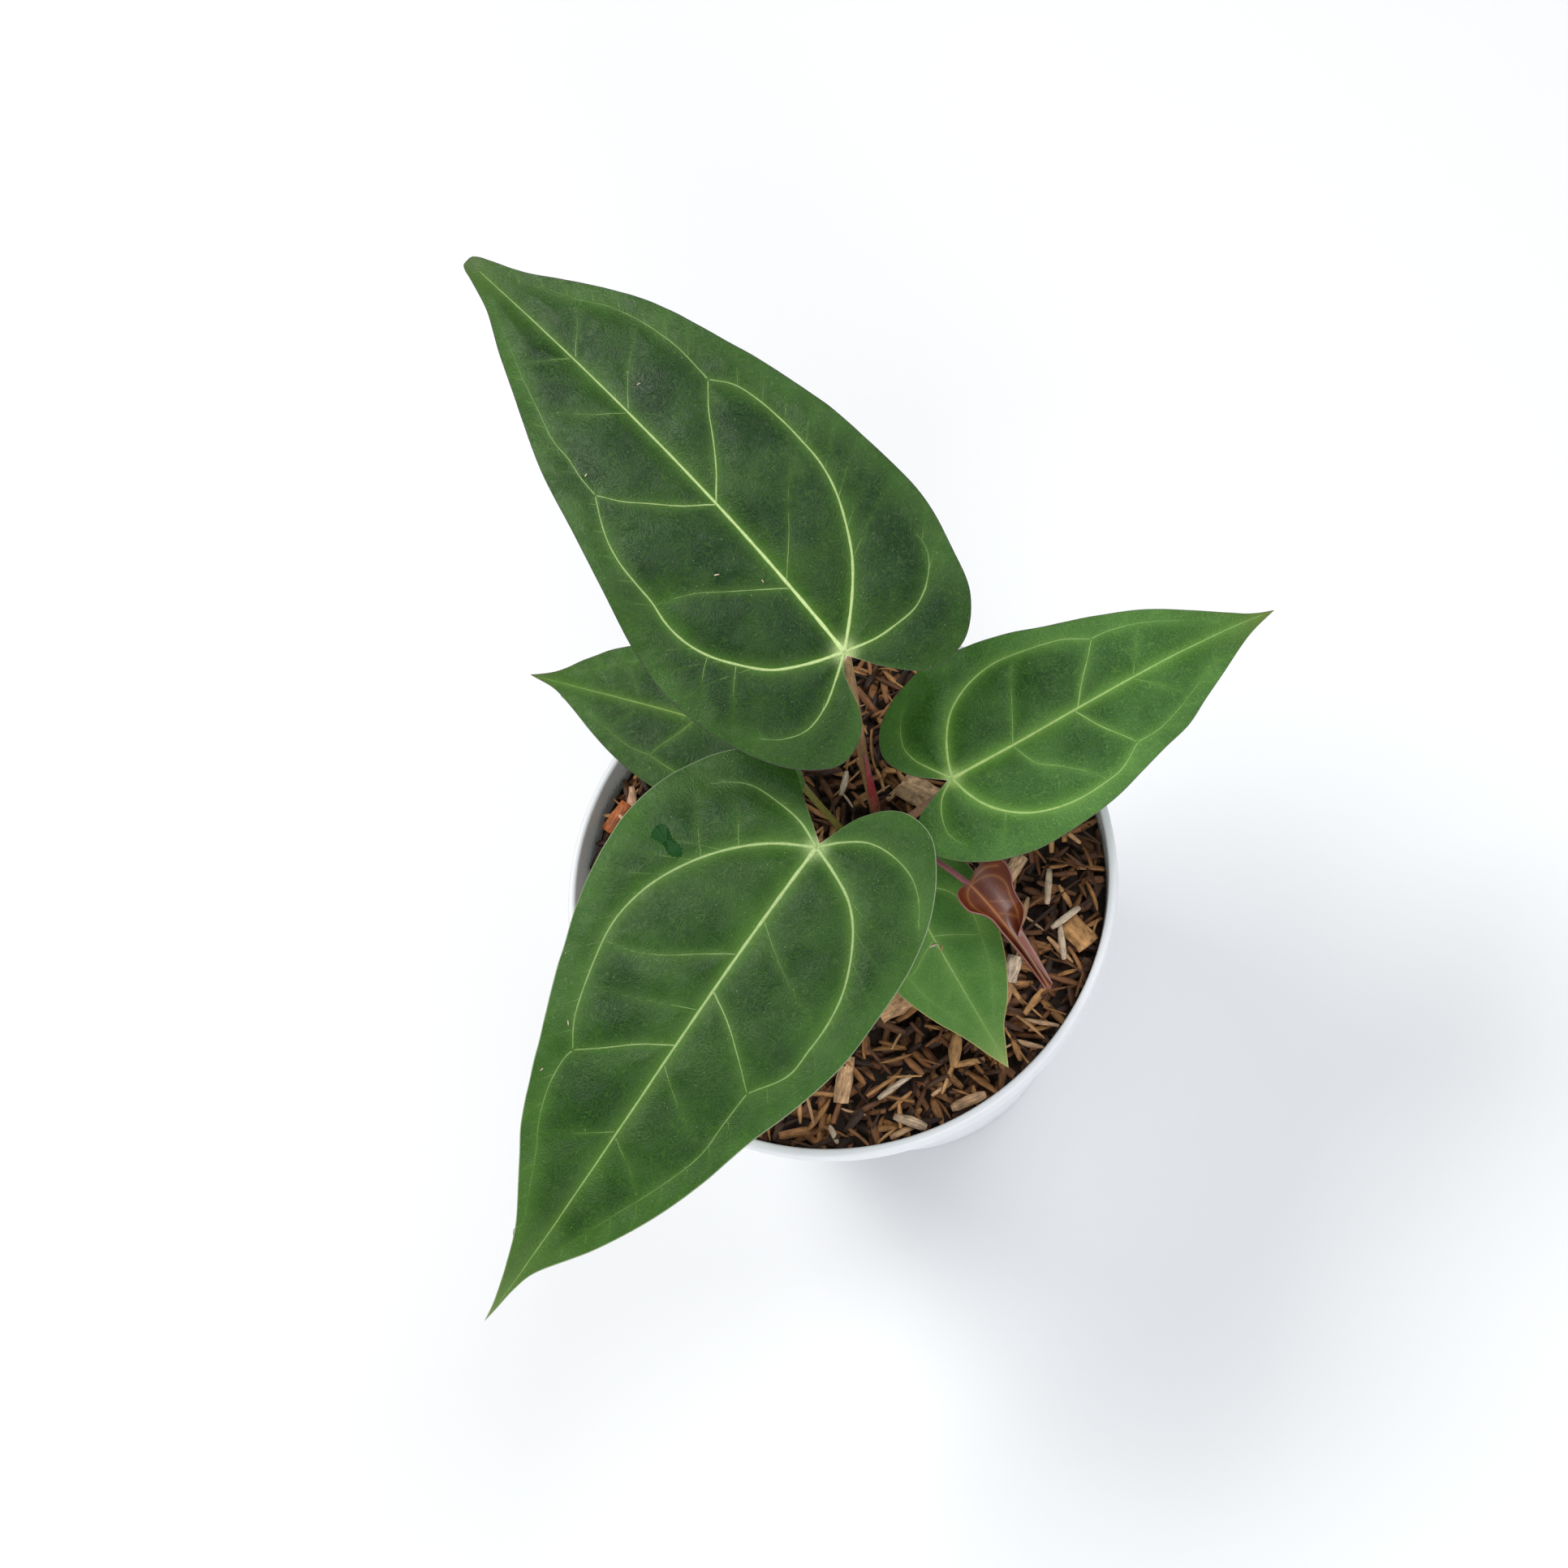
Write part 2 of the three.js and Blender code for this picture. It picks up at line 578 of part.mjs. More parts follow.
// The cataphyll is the pink pointed sheath that wraps the front of the tallest petiole.
function cataphyllGeometry(leaf) {
  const { bottom, top, halfAngle, tipHalfAngle, narrowing, facing, thickness, columns, rows } = CATAPHYLL;
  const curve = petioleCurve(leaf);
  const angle = THREE.MathUtils.degToRad(facing);
  const front = new THREE.Vector3(Math.cos(angle), Math.sin(angle), 0);
  const inner = leaf.petiole.radius + GAP;
  const position = [];
  for (let row = 0; row <= rows; row += 1) {
    const place = row / rows;
    const t = bottom + (top - bottom) * place;
    const [centre, tangent] = [curve.getPoint(t), curve.getTangent(t)];
    const ahead = front.clone().addScaledVector(tangent, -front.dot(tangent)).normalize();
    const beside = tangent.clone().cross(ahead);
    const degrees = tipHalfAngle + (halfAngle - tipHalfAngle) * (1 - place) ** narrowing;
    const spread = THREE.MathUtils.degToRad(degrees);
    for (let column = 0; column <= columns; column += 1) {
      const turn = spread * ((2 * column) / columns - 1);
      for (const radius of [inner + thickness, inner]) {
        const vertex = centre.clone().addScaledVector(ahead, radius * Math.cos(turn));
        vertex.addScaledVector(beside, radius * Math.sin(turn));
        position.push(vertex.x, vertex.y, vertex.z);
      }
    }
  }
  const at = (row, column, face) => 2 * (row * (columns + 1) + column) + face;
  const index = [];
  const quad = (a, b, c, d) => index.push(a, b, c, a, c, d);
  for (let row = 0; row < rows; row += 1) {
    for (let column = 0; column < columns; column += 1) {
      quad(at(row, column, 0), at(row, column + 1, 0), at(row + 1, column + 1, 0), at(row + 1, column, 0));
      quad(at(row, column, 1), at(row + 1, column, 1), at(row + 1, column + 1, 1), at(row, column + 1, 1));
    }
    quad(at(row, 0, 0), at(row + 1, 0, 0), at(row + 1, 0, 1), at(row, 0, 1));
    quad(at(row, columns, 0), at(row, columns, 1), at(row + 1, columns, 1), at(row + 1, columns, 0));
  }
  for (let column = 0; column < columns; column += 1) {
    quad(at(0, column, 0), at(0, column, 1), at(0, column + 1, 1), at(0, column + 1, 0));
    quad(at(rows, column, 0), at(rows, column + 1, 0), at(rows, column + 1, 1), at(rows, column, 1));
  }
  const geometry = new THREE.BufferGeometry();
  geometry.setAttribute("position", new THREE.Float32BufferAttribute(position, 3));
  geometry.setIndex(index);
  return geometryOf(solidOf(geometry));
}

const plant = new THREE.Group();
const allLeaves = [...LEAVES, NEW_LEAF];
plant.add(namedMesh("stem_crown", crownGeometry(), stem));
plant.add(namedMesh("cataphyll", cataphyllGeometry(LEAVES[0]), sheath));
for (const leaf of allLeaves) {
  const surface = leaf.curl ? rolledSurface(leaf) : grownSurface(leaf);
  plant.add(namedMesh(`${leaf.name}_petiole`, petioleGeometry(leaf), stem));
  plant.add(namedMesh(`${leaf.name}_blade`, bladeGeometry(leaf, surface), leafMaterial(leaf.colour)));
}

const pottedPlant = new THREE.Group();
pottedPlant.add(namedMesh("pot", potGeometry(), plastic));
pottedPlant.add(namedMesh("potting_mix", mixGeometry(allLeaves), bark));
pottedPlant.add(plant);

export default pottedPlant;
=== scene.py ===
"""A young potted anthurium: heart-shaped leaves with pale veins, a rolled new leaf, and a white
nursery pot of bark and husk mix. Sizes are in millimetres until a mesh is made."""

import bpy
import numpy as np
from mathutils import Matrix


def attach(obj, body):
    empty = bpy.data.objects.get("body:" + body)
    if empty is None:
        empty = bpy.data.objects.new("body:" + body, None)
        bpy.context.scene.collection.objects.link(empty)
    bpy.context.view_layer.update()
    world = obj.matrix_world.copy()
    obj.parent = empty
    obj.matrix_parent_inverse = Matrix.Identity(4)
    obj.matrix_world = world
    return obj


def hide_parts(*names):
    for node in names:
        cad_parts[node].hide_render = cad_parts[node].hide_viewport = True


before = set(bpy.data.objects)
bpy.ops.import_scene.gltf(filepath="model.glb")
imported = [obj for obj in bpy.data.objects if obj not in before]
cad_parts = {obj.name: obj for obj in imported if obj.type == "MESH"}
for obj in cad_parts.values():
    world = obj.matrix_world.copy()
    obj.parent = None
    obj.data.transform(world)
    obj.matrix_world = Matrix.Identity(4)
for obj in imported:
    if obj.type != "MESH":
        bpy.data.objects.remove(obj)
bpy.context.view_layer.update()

# Pot
# A nursery pot, injection moulded in white plastic with a satin skin. The thin wall tapers down to a
# ring foot, the lip is thickened, and six holes round the hub of its floor let the water out.
MM = 0.001
POT_DIVISIONS = 192
POT_HUB = [(0, 0, 0), (14, 0, 0.4), (14.8, 2.5, 0.4), (18, 2.5, 0)]
POT_SHELL = [
    (40, 2.5, 0), (43.2, 2.5, 0.5), (44, 0, 0.4), (50, 0, 0.9), (74.2, 113.4, 0.25), (75.5, 113.8, 0.4),
    (75.5, 120, 0.95), (73.3, 120, 0.95), (72.6, 113.5, 3), (49.4, 4.7, 3), (40, 4.7, 0),
]
DRAIN_HOLES = 6
DRAIN_RADIUS = 4
DRAIN_RING = 29
DRAINED_BAND = (18, 40)
FLOOR_BOTTOM, FLOOR_TOP = 2.5, 4.7


def net(rows, columns, ring=False):
    """Triangles of a grid of points numbered row by row; a ring joins its last column to its first."""
    i = np.arange(rows - 1)[:, None] * columns
    j = np.arange(columns if ring else columns - 1)[None, :]
    k = (j + 1) % columns
    quads = np.stack([i + j, i + k, i + columns + k, i + columns + j], axis=-1).reshape(-1, 4)
    return np.concatenate([quads[:, [0, 1, 2]], quads[:, [0, 2, 3]]])


def joined(parts):
    """One list of points and one of triangles from several (points, triangles) pairs."""
    starts = np.cumsum([0] + [len(points) for points, _ in parts[:-1]])
    triangles = [faces + start for (_, faces), start in zip(parts, starts)]
    return np.concatenate([points for points, _ in parts]), np.concatenate(triangles)


def piece(name, points, triangles, materials, uv=None, values=None, material_index=None):
    """A mesh object from points in millimetres. Equal points become one, and triangles that shrink to a
    line go, so seams and poles are closed. Each value is one number a point, kept as an attribute."""
    key = np.round(points * 2000).astype(np.int64)
    _, first, back = np.unique(key, axis=0, return_index=True, return_inverse=True)
    corners = back.reshape(-1)[triangles]
    whole = (corners != np.roll(corners, -1, axis=1)).all(axis=1)
    corners = corners[whole]
    mesh = bpy.data.meshes.new(name)
    mesh.vertices.add(len(first))
    mesh.vertices.foreach_set("co", (points[first] * MM).astype(np.float32).ravel())
    mesh.loops.add(corners.size)
    mesh.loops.foreach_set("vertex_index", corners.astype(np.int32).ravel())
    mesh.polygons.add(len(corners))
    mesh.polygons.foreach_set("loop_start", np.arange(0, corners.size, 3, dtype=np.int32))
    mesh.update(calc_edges=True)
    mesh.polygons.foreach_set("use_smooth", np.ones(len(corners), dtype=bool))
    if uv is not None:
        layer = mesh.uv_layers.new(name="UVMap")
        layer.data.foreach_set("uv", uv[triangles[whole]].astype(np.float32).ravel())
    for label, numbers in (values or {}).items():
        attribute = mesh.attributes.new(label, "FLOAT", "POINT")
        attribute.data.foreach_set("value", numbers[first].astype(np.float32))
    for material in materials:
        mesh.materials.append(material)
    if material_index is not None:
        mesh.polygons.foreach_set("material_index", material_index[whole].astype(np.int32))
    made = bpy.data.objects.new(name, mesh)
    bpy.context.scene.collection.objects.link(made)
    return made


def rounded(profile, steps=7, spacing=6):
    """A profile of (radius, height, ease) corners. Each corner becomes a parabola between the points at
    its ease from it, and long runs are divided evenly."""
    corners = np.array(profile, float)
    xz, ease = corners[:, :2], corners[:, 2]
    run = [xz[0]]
    s = np.linspace(0, 1, steps)[:, None]
    for i in range(1, len(xz)):
        if i == len(xz) - 1 or ease[i] == 0:
            bend = xz[i:i + 1]
        else:
            start = xz[i] + ease[i] * (xz[i - 1] - xz[i]) / np.linalg.norm(xz[i - 1] - xz[i])
            end = xz[i] + ease[i] * (xz[i + 1] - xz[i]) / np.linalg.norm(xz[i + 1] - xz[i])
            bend = (1 - s) ** 2 * start + 2 * s * (1 - s) * xz[i] + s ** 2 * end
        gap = np.linalg.norm(bend[0] - run[-1])
        parts = max(1, int(np.ceil(gap / spacing)))
        along = np.linspace(0, 1, parts + 1)[1:-1, None]
        run.extend(run[-1] + along * (bend[0] - run[-1]))
        run.extend(bend)
    return np.array(run)


def turned(profile, divisions):
    """A profile of (radius, height) points carried round the Z axis."""
    angle = np.arange(divisions) * 2 * np.pi / divisions
    x = profile[:, :1] * np.cos(angle)
    y = profile[:, :1] * np.sin(angle)
    z = np.repeat(profile[:, 1:], divisions, axis=1)
    return np.stack([x, y, z], axis=-1).reshape(-1, 3), net(len(profile), divisions, ring=True)


def drilled_sector(turn, inner, outer):
    """The floor round one drain hole, as straight lines from the hole's edge out to a sixth of a ring,
    drawn on the underside, then on the inside, with the hole's wall between them."""
    half = np.pi / DRAIN_HOLES
    count = POT_DIVISIONS // DRAIN_HOLES
    sweep = np.linspace(-half, half, count + 1)[:-1]
    edge = np.linspace(0, 1, 9)[:-1]
    radius = np.concatenate([np.full(count, outer), outer + (inner - outer) * edge,
                             np.full(count, inner), inner + (outer - inner) * edge])
    angle = np.concatenate([sweep, np.full(8, half), -sweep, np.full(8, -half)])
    border = np.stack([radius * np.cos(angle), radius * np.sin(angle)], axis=-1)
    facing = border - [DRAIN_RING, 0]
    hole = [DRAIN_RING, 0] + DRAIN_RADIUS * facing / np.linalg.norm(facing, axis=1, keepdims=True)
    share = np.linspace(0, 1, 6)[:, None, None]
    flat = hole + (border - hole) * share
    xy = np.concatenate([flat[::-1], flat])
    z = np.repeat([FLOOR_BOTTOM, FLOOR_TOP], 6)[:, None] + np.zeros(xy.shape[:2])
    cos, sin = np.cos(turn), np.sin(turn)
    x = xy[..., 0] * cos - xy[..., 1] * sin
    y = xy[..., 0] * sin + xy[..., 1] * cos
    return np.stack([x, y, z], axis=-1).reshape(-1, 3), net(12, xy.shape[1], ring=True)


def add(tree, kind, inputs=None, **settings):
    """A shader node. Its inputs are plain values or other nodes' outputs."""
    made = tree.nodes.new("ShaderNode" + kind)
    for key, value in settings.items():
        setattr(made, key, value)
    for key, value in (inputs or {}).items():
        if isinstance(value, bpy.types.NodeSocket):
            tree.links.new(value, made.inputs[key])
        else:
            made.inputs[key].default_value = value
    return made


def finish_named(name, **sockets):
    """A material with a Principled shader whose sockets hold the given constants."""
    material = bpy.data.materials.new(name)
    material.use_nodes = True
    tree = material.node_tree
    shader = tree.nodes["Principled BSDF"]
    by_key = {socket.name.lower().replace(" ", "_"): socket for socket in shader.inputs}
    for key, value in sockets.items():
        by_key[key].default_value = value
    return material, tree, shader


def blended(tree, factor, first, second, mode="MIX"):
    """Mixes two colours and returns the mixed colour's output."""
    made = add(tree, "Mix", {0: factor, 6: first, 7: second}, data_type="RGBA", blend_type=mode)
    return made.outputs[2]


def graded(tree, factor, stops):
    """A straight colour ramp of (place, colour) stops over a factor."""
    made = add(tree, "ValToRGB", {0: factor})
    ramp = made.color_ramp
    while len(ramp.elements) < len(stops):
        ramp.elements.new(0.5)
    for element, (place, colour) in zip(ramp.elements, stops):
        element.position = place
        element.color = colour
    return made.outputs[0]


def grey(value):
    """An opaque grey: the same value in each channel."""
    return (value, value, value, 1)


def noise(tree, vector, scale, detail=2.0, roughness=0.5):
    """Cloud noise from 0 to 1 on the given coordinates."""
    inputs = {"Vector": vector, "Scale": scale, "Detail": detail, "Roughness": roughness}
    return add(tree, "TexNoise", inputs).outputs[0]


def computed(tree, operation, first, second=0.0, clamp=False):
    """One arithmetic step on numbers."""
    return add(tree, "Math", {0: first, 1: second}, operation=operation, use_clamp=clamp).outputs[0]


def object_place(tree):
    """Object coordinates, in metres, which are the part's own."""
    return add(tree, "TexCoord").outputs["Object"]


def relief(tree, shader, height, distance, strength=1.0):
    """Bumps the shader's normal by a height map; distance is in metres."""
    bump = add(tree, "Bump", {"Height": height, "Distance": distance, "Strength": strength})
    tree.links.new(bump.outputs[0], shader.inputs["Normal"])


# Specks of dirt lie on the inside of the wall and thin out up to 3.5 mm above the mix.
# These sizes are in metres.
DIRT_RADIUS, DIRT_BOTTOM, DIRT_TOP = 0.0733, 0.112, 0.1165

white_plastic, tree, shader = finish_named("white_plastic", ior=1.49)
place = object_place(tree)
cloud = noise(tree, place, 45, 3)
skin = graded(tree, cloud, [(0.3, (0.835, 0.848, 0.877, 1)), (0.7, (0.86, 0.87, 0.895, 1))])
height = add(tree, "SeparateXYZ", {0: place}).outputs[2]
level = add(tree, "VectorMath", {0: place, 1: (1, 1, 0)}, operation="MULTIPLY").outputs[0]
radius = add(tree, "VectorMath", {0: level}, operation="LENGTH").outputs["Value"]
thinning = computed(tree, "MULTIPLY", computed(tree, "SUBTRACT", DIRT_TOP, height), 400, clamp=True)
dirt = computed(tree, "GREATER_THAN", noise(tree, place, 900, 2), 0.66)
dirt = computed(tree, "MULTIPLY", thinning, dirt)
dirt = computed(tree, "MULTIPLY", dirt, computed(tree, "LESS_THAN", radius, DIRT_RADIUS))
dirt = computed(tree, "MULTIPLY", dirt, computed(tree, "GREATER_THAN", height, DIRT_BOTTOM))
tree.links.new(blended(tree, dirt, skin, (0.12, 0.07, 0.035, 1)), shader.inputs["Base Color"])
tree.links.new(graded(tree, noise(tree, place, 260, 2), [(0.3, grey(0.3)), (0.7, grey(0.42))]),
               shader.inputs["Roughness"])
relief(tree, shader, noise(tree, place, 1400, 2), 0.00002, 0.5)

shell = turned(rounded(POT_SHELL), POT_DIVISIONS)
hub = turned(rounded(POT_HUB), POT_DIVISIONS)
hub_inside = turned(np.array([[DRAINED_BAND[0], FLOOR_TOP], [0, FLOOR_TOP]], float), POT_DIVISIONS)
sectors = [drilled_sector(i * 2 * np.pi / DRAIN_HOLES, *DRAINED_BAND) for i in range(DRAIN_HOLES)]
pot = piece("pot_shell", *joined([hub, shell, hub_inside, *sectors]), [white_plastic])
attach(pot, "root")
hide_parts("pot")

# Potting mix
# Dark soil, its near-black colour partly painted shade, with a deep layer of chopped bark and husk on top,
# poured in loose up to 7 mm below the lip.
# The chips lie every way, tan to nearly black, the lower ones painted darker as shade, with darker gaps
# between them.
MIX_LEVEL = 113
SOIL_DEPTH = 2.6
MIX_FLOOR = 5.1
CROWN_CENTRE = np.array([8.8, 13.1])


def inner_radius(z):
    """The pot's inner radius at a height: 48.4 mm at the floor, growing evenly to 72.6 mm at the lip."""
    return 48.4 + 24.2 * z / 113.5


def mix_height(x, y):
    """Low ripples over the surface that fade out at the wall."""
    fade = 1 - (np.hypot(x, y) / inner_radius(MIX_LEVEL)) ** 4
    crossed = np.sin(2 * np.pi * x / 20 + 1.1) * np.cos(2 * np.pi * y / 23 - 0.4)
    return MIX_LEVEL + 0.9 * (crossed + 0.6 * np.sin(2 * np.pi * (x + 2 * y) / 48)) * fade


soil_rings = np.linspace(1, 0, 61)[:, None] * (inner_radius(MIX_LEVEL) - 0.5)
soil_angle = np.arange(180)[None, :] * np.pi / 90
soil_x, soil_y = soil_rings * np.cos(soil_angle), soil_rings * np.sin(soil_angle)
crumble = 0.5 * np.sin(1.9 * soil_x + 0.7 * soil_y) * np.sin(1.3 * soil_y - 0.5 * soil_x)
crumble += 0.35 * np.sin(3.1 * soil_x - 1.7) * np.cos(2.7 * soil_y + 0.6 * soil_x)
soil_top = np.stack([soil_x, soil_y, mix_height(soil_x, soil_y) - SOIL_DEPTH + crumble], axis=-1)
soil_wall = np.array([[0, MIX_FLOOR], [inner_radius(MIX_FLOOR) - 2.5, MIX_FLOOR],
                      [inner_radius(8) - 0.5, 8], [inner_radius(60) - 0.5, 60]])
wall_x, wall_y = soil_wall[:, :1] * np.cos(soil_angle), soil_wall[:, :1] * np.sin(soil_angle)
wall = np.stack([wall_x, wall_y, soil_wall[:, 1:] + 0 * wall_x], axis=-1)
soil_points = np.concatenate([wall, soil_top])

# The soil runs down to nearly black: partly its own colour, partly painted shade for the gaps between the
# chips.
dark_soil, tree, shader = finish_named("dark_soil", roughness=0.95)
place = object_place(tree)
grain = noise(tree, place, 420, 4, 0.7)
tree.links.new(graded(tree, grain, [(0.35, (0.008, 0.005, 0.004, 1)), (0.6, (0.035, 0.019, 0.011, 1)),
                                    (0.8, (0.09, 0.05, 0.028, 1))]), shader.inputs["Base Color"])
relief(tree, shader, grain, 0.0008)
soil = piece("soil", soil_points.reshape(-1, 3), net(*soil_points.shape[:2], ring=True), [dark_soil])
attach(soil, "root")
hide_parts("potting_mix")

rng = np.random.default_rng(23)
CHIP_RINGS, CHIP_SIDES = 7, 6
CHIP_POINTS = CHIP_RINGS * CHIP_SIDES


def pitched(local, azimuth, pitch, roll, centre):
    """Turns local points about their own long axis, tips and turns them, and carries them to centre."""
    cr, sr = np.cos(roll)[:, None], np.sin(roll)[:, None]
    cp, sp = np.cos(pitch)[:, None], np.sin(pitch)[:, None]
    ca, sa = np.cos(azimuth)[:, None], np.sin(azimuth)[:, None]
    x, y, z = local[..., 0], local[..., 1], local[..., 2]
    y, z = y * cr - z * sr, y * sr + z * cr
    x, z = x * cp - z * sp, x * sp + z * cp
    x, y = x * ca - y * sa, x * sa + y * ca
    return np.stack([x, y, z], axis=-1) + centre[:, None, :]


def splinters(length, width, thickness, blunt, bend, cup):
    """Husk splinters: six-sided bars whose section swells from a blunt or pointed end to the middle,
    cupped across and bowed along their length. One row of points for each splinter."""
    s = np.array([0, 0.015, 0.2, 0.5, 0.8, 0.985, 1])[None, :, None]
    around = (np.arange(CHIP_SIDES) + 0.5)[None, None, :] * np.pi / 3
    swell = blunt + (1 - blunt) * np.sin(np.pi * s) ** 0.7
    swell = np.where((s == 0) | (s == 1), 0, swell)
    uneven = 1 + 0.3 * (rng.random((len(length), CHIP_RINGS, CHIP_SIDES)) - 0.5)
    x = (s - 0.5) * length + 0 * around
    y = 0.5 * width * swell * np.cos(around) * uneven
    z = 0.5 * thickness * swell * np.sin(around) * uneven + bend * length * (1 - (2 * s - 1) ** 2)
    z += cup * width * (2 * y / width) ** 2
    return np.stack([x, y, z], axis=-1).reshape(len(length), CHIP_POINTS, 3)


def scattered(count, low, high):
    """Centres in a sunflower pattern with a random shift, each at a random height over the mix."""
    i = np.arange(count) + 0.5
    radius = inner_radius(MIX_LEVEL) * np.sqrt(i / count)
    angle = i * np.pi * (3 - 5 ** 0.5)
    xy = np.stack([radius * np.cos(angle), radius * np.sin(angle)], axis=-1)
    xy += rng.normal(0, 1.6, (count, 2))
    lift = mix_height(xy[:, 0], xy[:, 1]) - MIX_LEVEL + rng.uniform(low, high, count)
    return np.concatenate([xy, (MIX_LEVEL + lift)[:, None]], axis=1)


def inside_wall(points, clearance=0.5):
    """Moves each shape in from the wall by as much as its furthest point stands past it."""
    reach = np.hypot(points[..., 0], points[..., 1])
    past = np.maximum(0, (reach - inner_radius(MIX_LEVEL) + clearance).max(axis=1))
    centre = points[..., :2].mean(axis=1)
    inward = centre / np.maximum(np.hypot(*centre.T), 1)[:, None]
    points[..., :2] -= (inward * past[:, None])[:, None, :]
    return points


def clear_of_crown(points, distance):
    """True for each shape whose nearest point is further than the distance from the crown's axis."""
    return np.hypot(*(points[..., :2] - CROWN_CENTRE).transpose(2, 0, 1)).min(axis=1) > distance


chip_layers = [
    # count, lowest, highest, length, width, thickness
    (560, -3.0, -1.8, (6, 13), (1.8, 3.6), (1.0, 1.7)),
    (520, -1.6, 0.2, (5, 12), (1.4, 3.0), (0.9, 1.5)),
    (420, 0.2, 1.9, (5, 11), (1.2, 2.6), (0.8, 1.3)),
    (360, 0.0, 2.2, (5, 12), (0.6, 1.2), (0.5, 0.9)),
]
chip_points, chip_tone_and_shade, chip_uv = [], [], []
around = np.tile(np.arange(CHIP_SIDES), CHIP_RINGS)[None, :] * 0.5
for count, low, high, length, width, thickness in chip_layers:
    size = [rng.uniform(*span, (count, 1, 1)) for span in (length, width, thickness)]
    local = splinters(*size, rng.uniform(0.2, 0.85, (count, 1, 1)), rng.normal(0, 0.04, (count, 1, 1)),
                      rng.uniform(-0.05, 0.22, (count, 1, 1)))
    centre = scattered(count, low, high)
    placed = pitched(local, rng.uniform(0, 2 * np.pi, count), rng.normal(0, 0.2, count),
                     rng.uniform(-1.1, 1.1, count), centre)
    placed = inside_wall(placed)
    kept = clear_of_crown(placed, 5.5)
    chip_points.append(placed[kept])
    # Lower chips are painted darker: the depth factor on each chip's random tone is painted shade.
    depth = np.clip((centre[:, 2] - MIX_LEVEL + 3) / 5, 0, 1)
    chip_tone_and_shade.append((rng.random(count) ** 1.2 * (0.42 + 0.58 * depth))[kept])
    offset = rng.uniform(0, 50, (count, 1))
    chip_uv.append(np.stack([local[..., 0] + offset, around + offset], axis=-1)[kept])
named_chips = np.array([
    # x, y, z, azimuth, pitch, length, width, thickness, tone
    (22.0, 25.9, 115.4, -28, 4, 12.5, 8.5, 1.2, 0.84), (47.4, -24.6, 115.2, 75, 3, 7.5, 4.6, 0.9, 0.93),
    (17.0, -33.6, 114.9, 31, -4, 12, 6.5, 1.2, 0.78), (2.9, -53.9, 114.6, -97, 3, 13, 5, 1.3, 0.80),
    (32.4, -46.3, 115.0, 84, 5, 9, 3.8, 1.3, 0.72), (65.0, -15.2, 114.9, -52, 5, 9.5, 7.5, 1.0, 0.66),
    (61.6, -11.0, 115.9, 34, 6, 9.5, 2.2, 1.2, 0.95), (60.6, -17.7, 115.6, -84, 5, 10, 2.2, 1.2, 0.93),
    (57.0, -2.0, 115.3, -93, 6, 10.5, 2.4, 1.2, 0.92), (-64.2, 22.0, 114.9, 56, 5, 10, 4.2, 1.3, 1.0),
    (47.9, 3.7, 115.2, 57, 3, 8, 4.5, 1.1, 0.86), (21.0, -66.0, 114.9, -19, 5, 9.5, 3.2, 1.5, 0.9),
    (-60.0, 26.0, 114.6, 100, -5, 11, 3.6, 1.5, 0.98), (36.0, -60.0, 115.0, 20, 8, 10, 3.4, 1.3, 0.82)])
length, width, thickness = (named_chips[:, i, None, None] for i in (5, 6, 7))
local = splinters(length, width, thickness, np.where(width > 4, 0.93, 0.5), 0.01, 0.02)
azimuth, pitch = np.radians(named_chips[:, 3:5]).T
placed = pitched(local, azimuth, pitch, 0.1 * np.sin(azimuth * 3), named_chips[:, :3])
chip_points.append(inside_wall(placed))
chip_tone_and_shade.append(named_chips[:, 8])
chip_uv.append(np.stack([local[..., 0] + 9, around + named_chips[:, :1]], axis=-1))
chip_points, chip_tone_and_shade = np.concatenate(chip_points), np.concatenate(chip_tone_and_shade)
chip_uv = np.concatenate(chip_uv)


def chip_net(count):
    """Triangles of this many chips, each numbered after the one before."""
    starts = np.arange(count)[:, None, None] * CHIP_POINTS
    return (net(CHIP_RINGS, CHIP_SIDES, ring=True)[None] + starts).reshape(-1, 3)


def carried(tree, label):
    """The number that the mesh carries for each point under this label."""
    return add(tree, "Attribute", attribute_name=label).outputs["Fac"]


husk, tree, shader = finish_named("husk", roughness=0.62)
# The tone that each chip carries also holds the painted shade that darkens the lower chips.
tone = carried(tree, "tone")
along = add(tree, "UVMap").outputs[0]
fibre = add(tree, "Mapping", {"Vector": along, "Scale": (0.16, 2.6, 1)}).outputs[0]
streak = noise(tree, fibre, 2.2, 4, 0.65)
blotch = noise(tree, object_place(tree), 320, 3, 0.6)
chip_colour = graded(tree, tone, [
    (0.0, (0.035, 0.015, 0.008, 1)), (0.14, (0.10, 0.042, 0.018, 1)), (0.32, (0.24, 0.095, 0.034, 1)),
    (0.52, (0.44, 0.20, 0.065, 1)), (0.72, (0.64, 0.34, 0.13, 1)), (0.86, (0.74, 0.47, 0.28, 1)),
    (0.955, (0.74, 0.60, 0.44, 1)), (1.0, (0.48, 0.13, 0.03, 1))])
shade = graded(tree, streak, [(0.28, grey(0.32)), (0.5, grey(0.95)), (0.72, grey(1.5))])
chip_colour = blended(tree, 1.0, chip_colour, shade, "MULTIPLY")
shade = graded(tree, blotch, [(0.3, grey(0.6)), (0.6, grey(1.1))])
tree.links.new(blended(tree, 1.0, chip_colour, shade, "MULTIPLY"), shader.inputs["Base Color"])
relief(tree, shader, streak, 0.0003, 0.9)
chips = piece("husk_chips", chip_points.reshape(-1, 3), chip_net(len(chip_points)), [husk],
              uv=chip_uv.reshape(-1, 2), values={"tone": np.repeat(chip_tone_and_shade, CHIP_POINTS)})
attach(chips, "root")

# Crown
# The short stem where every stalk starts: green-brown, and ringed by the scars of older leaves. It
# grew in the mix, and only its domed top stands out of it.
CROWN_RADIUS = 4.2
CROWN_BOTTOM, CROWN_TOP = 106, 117

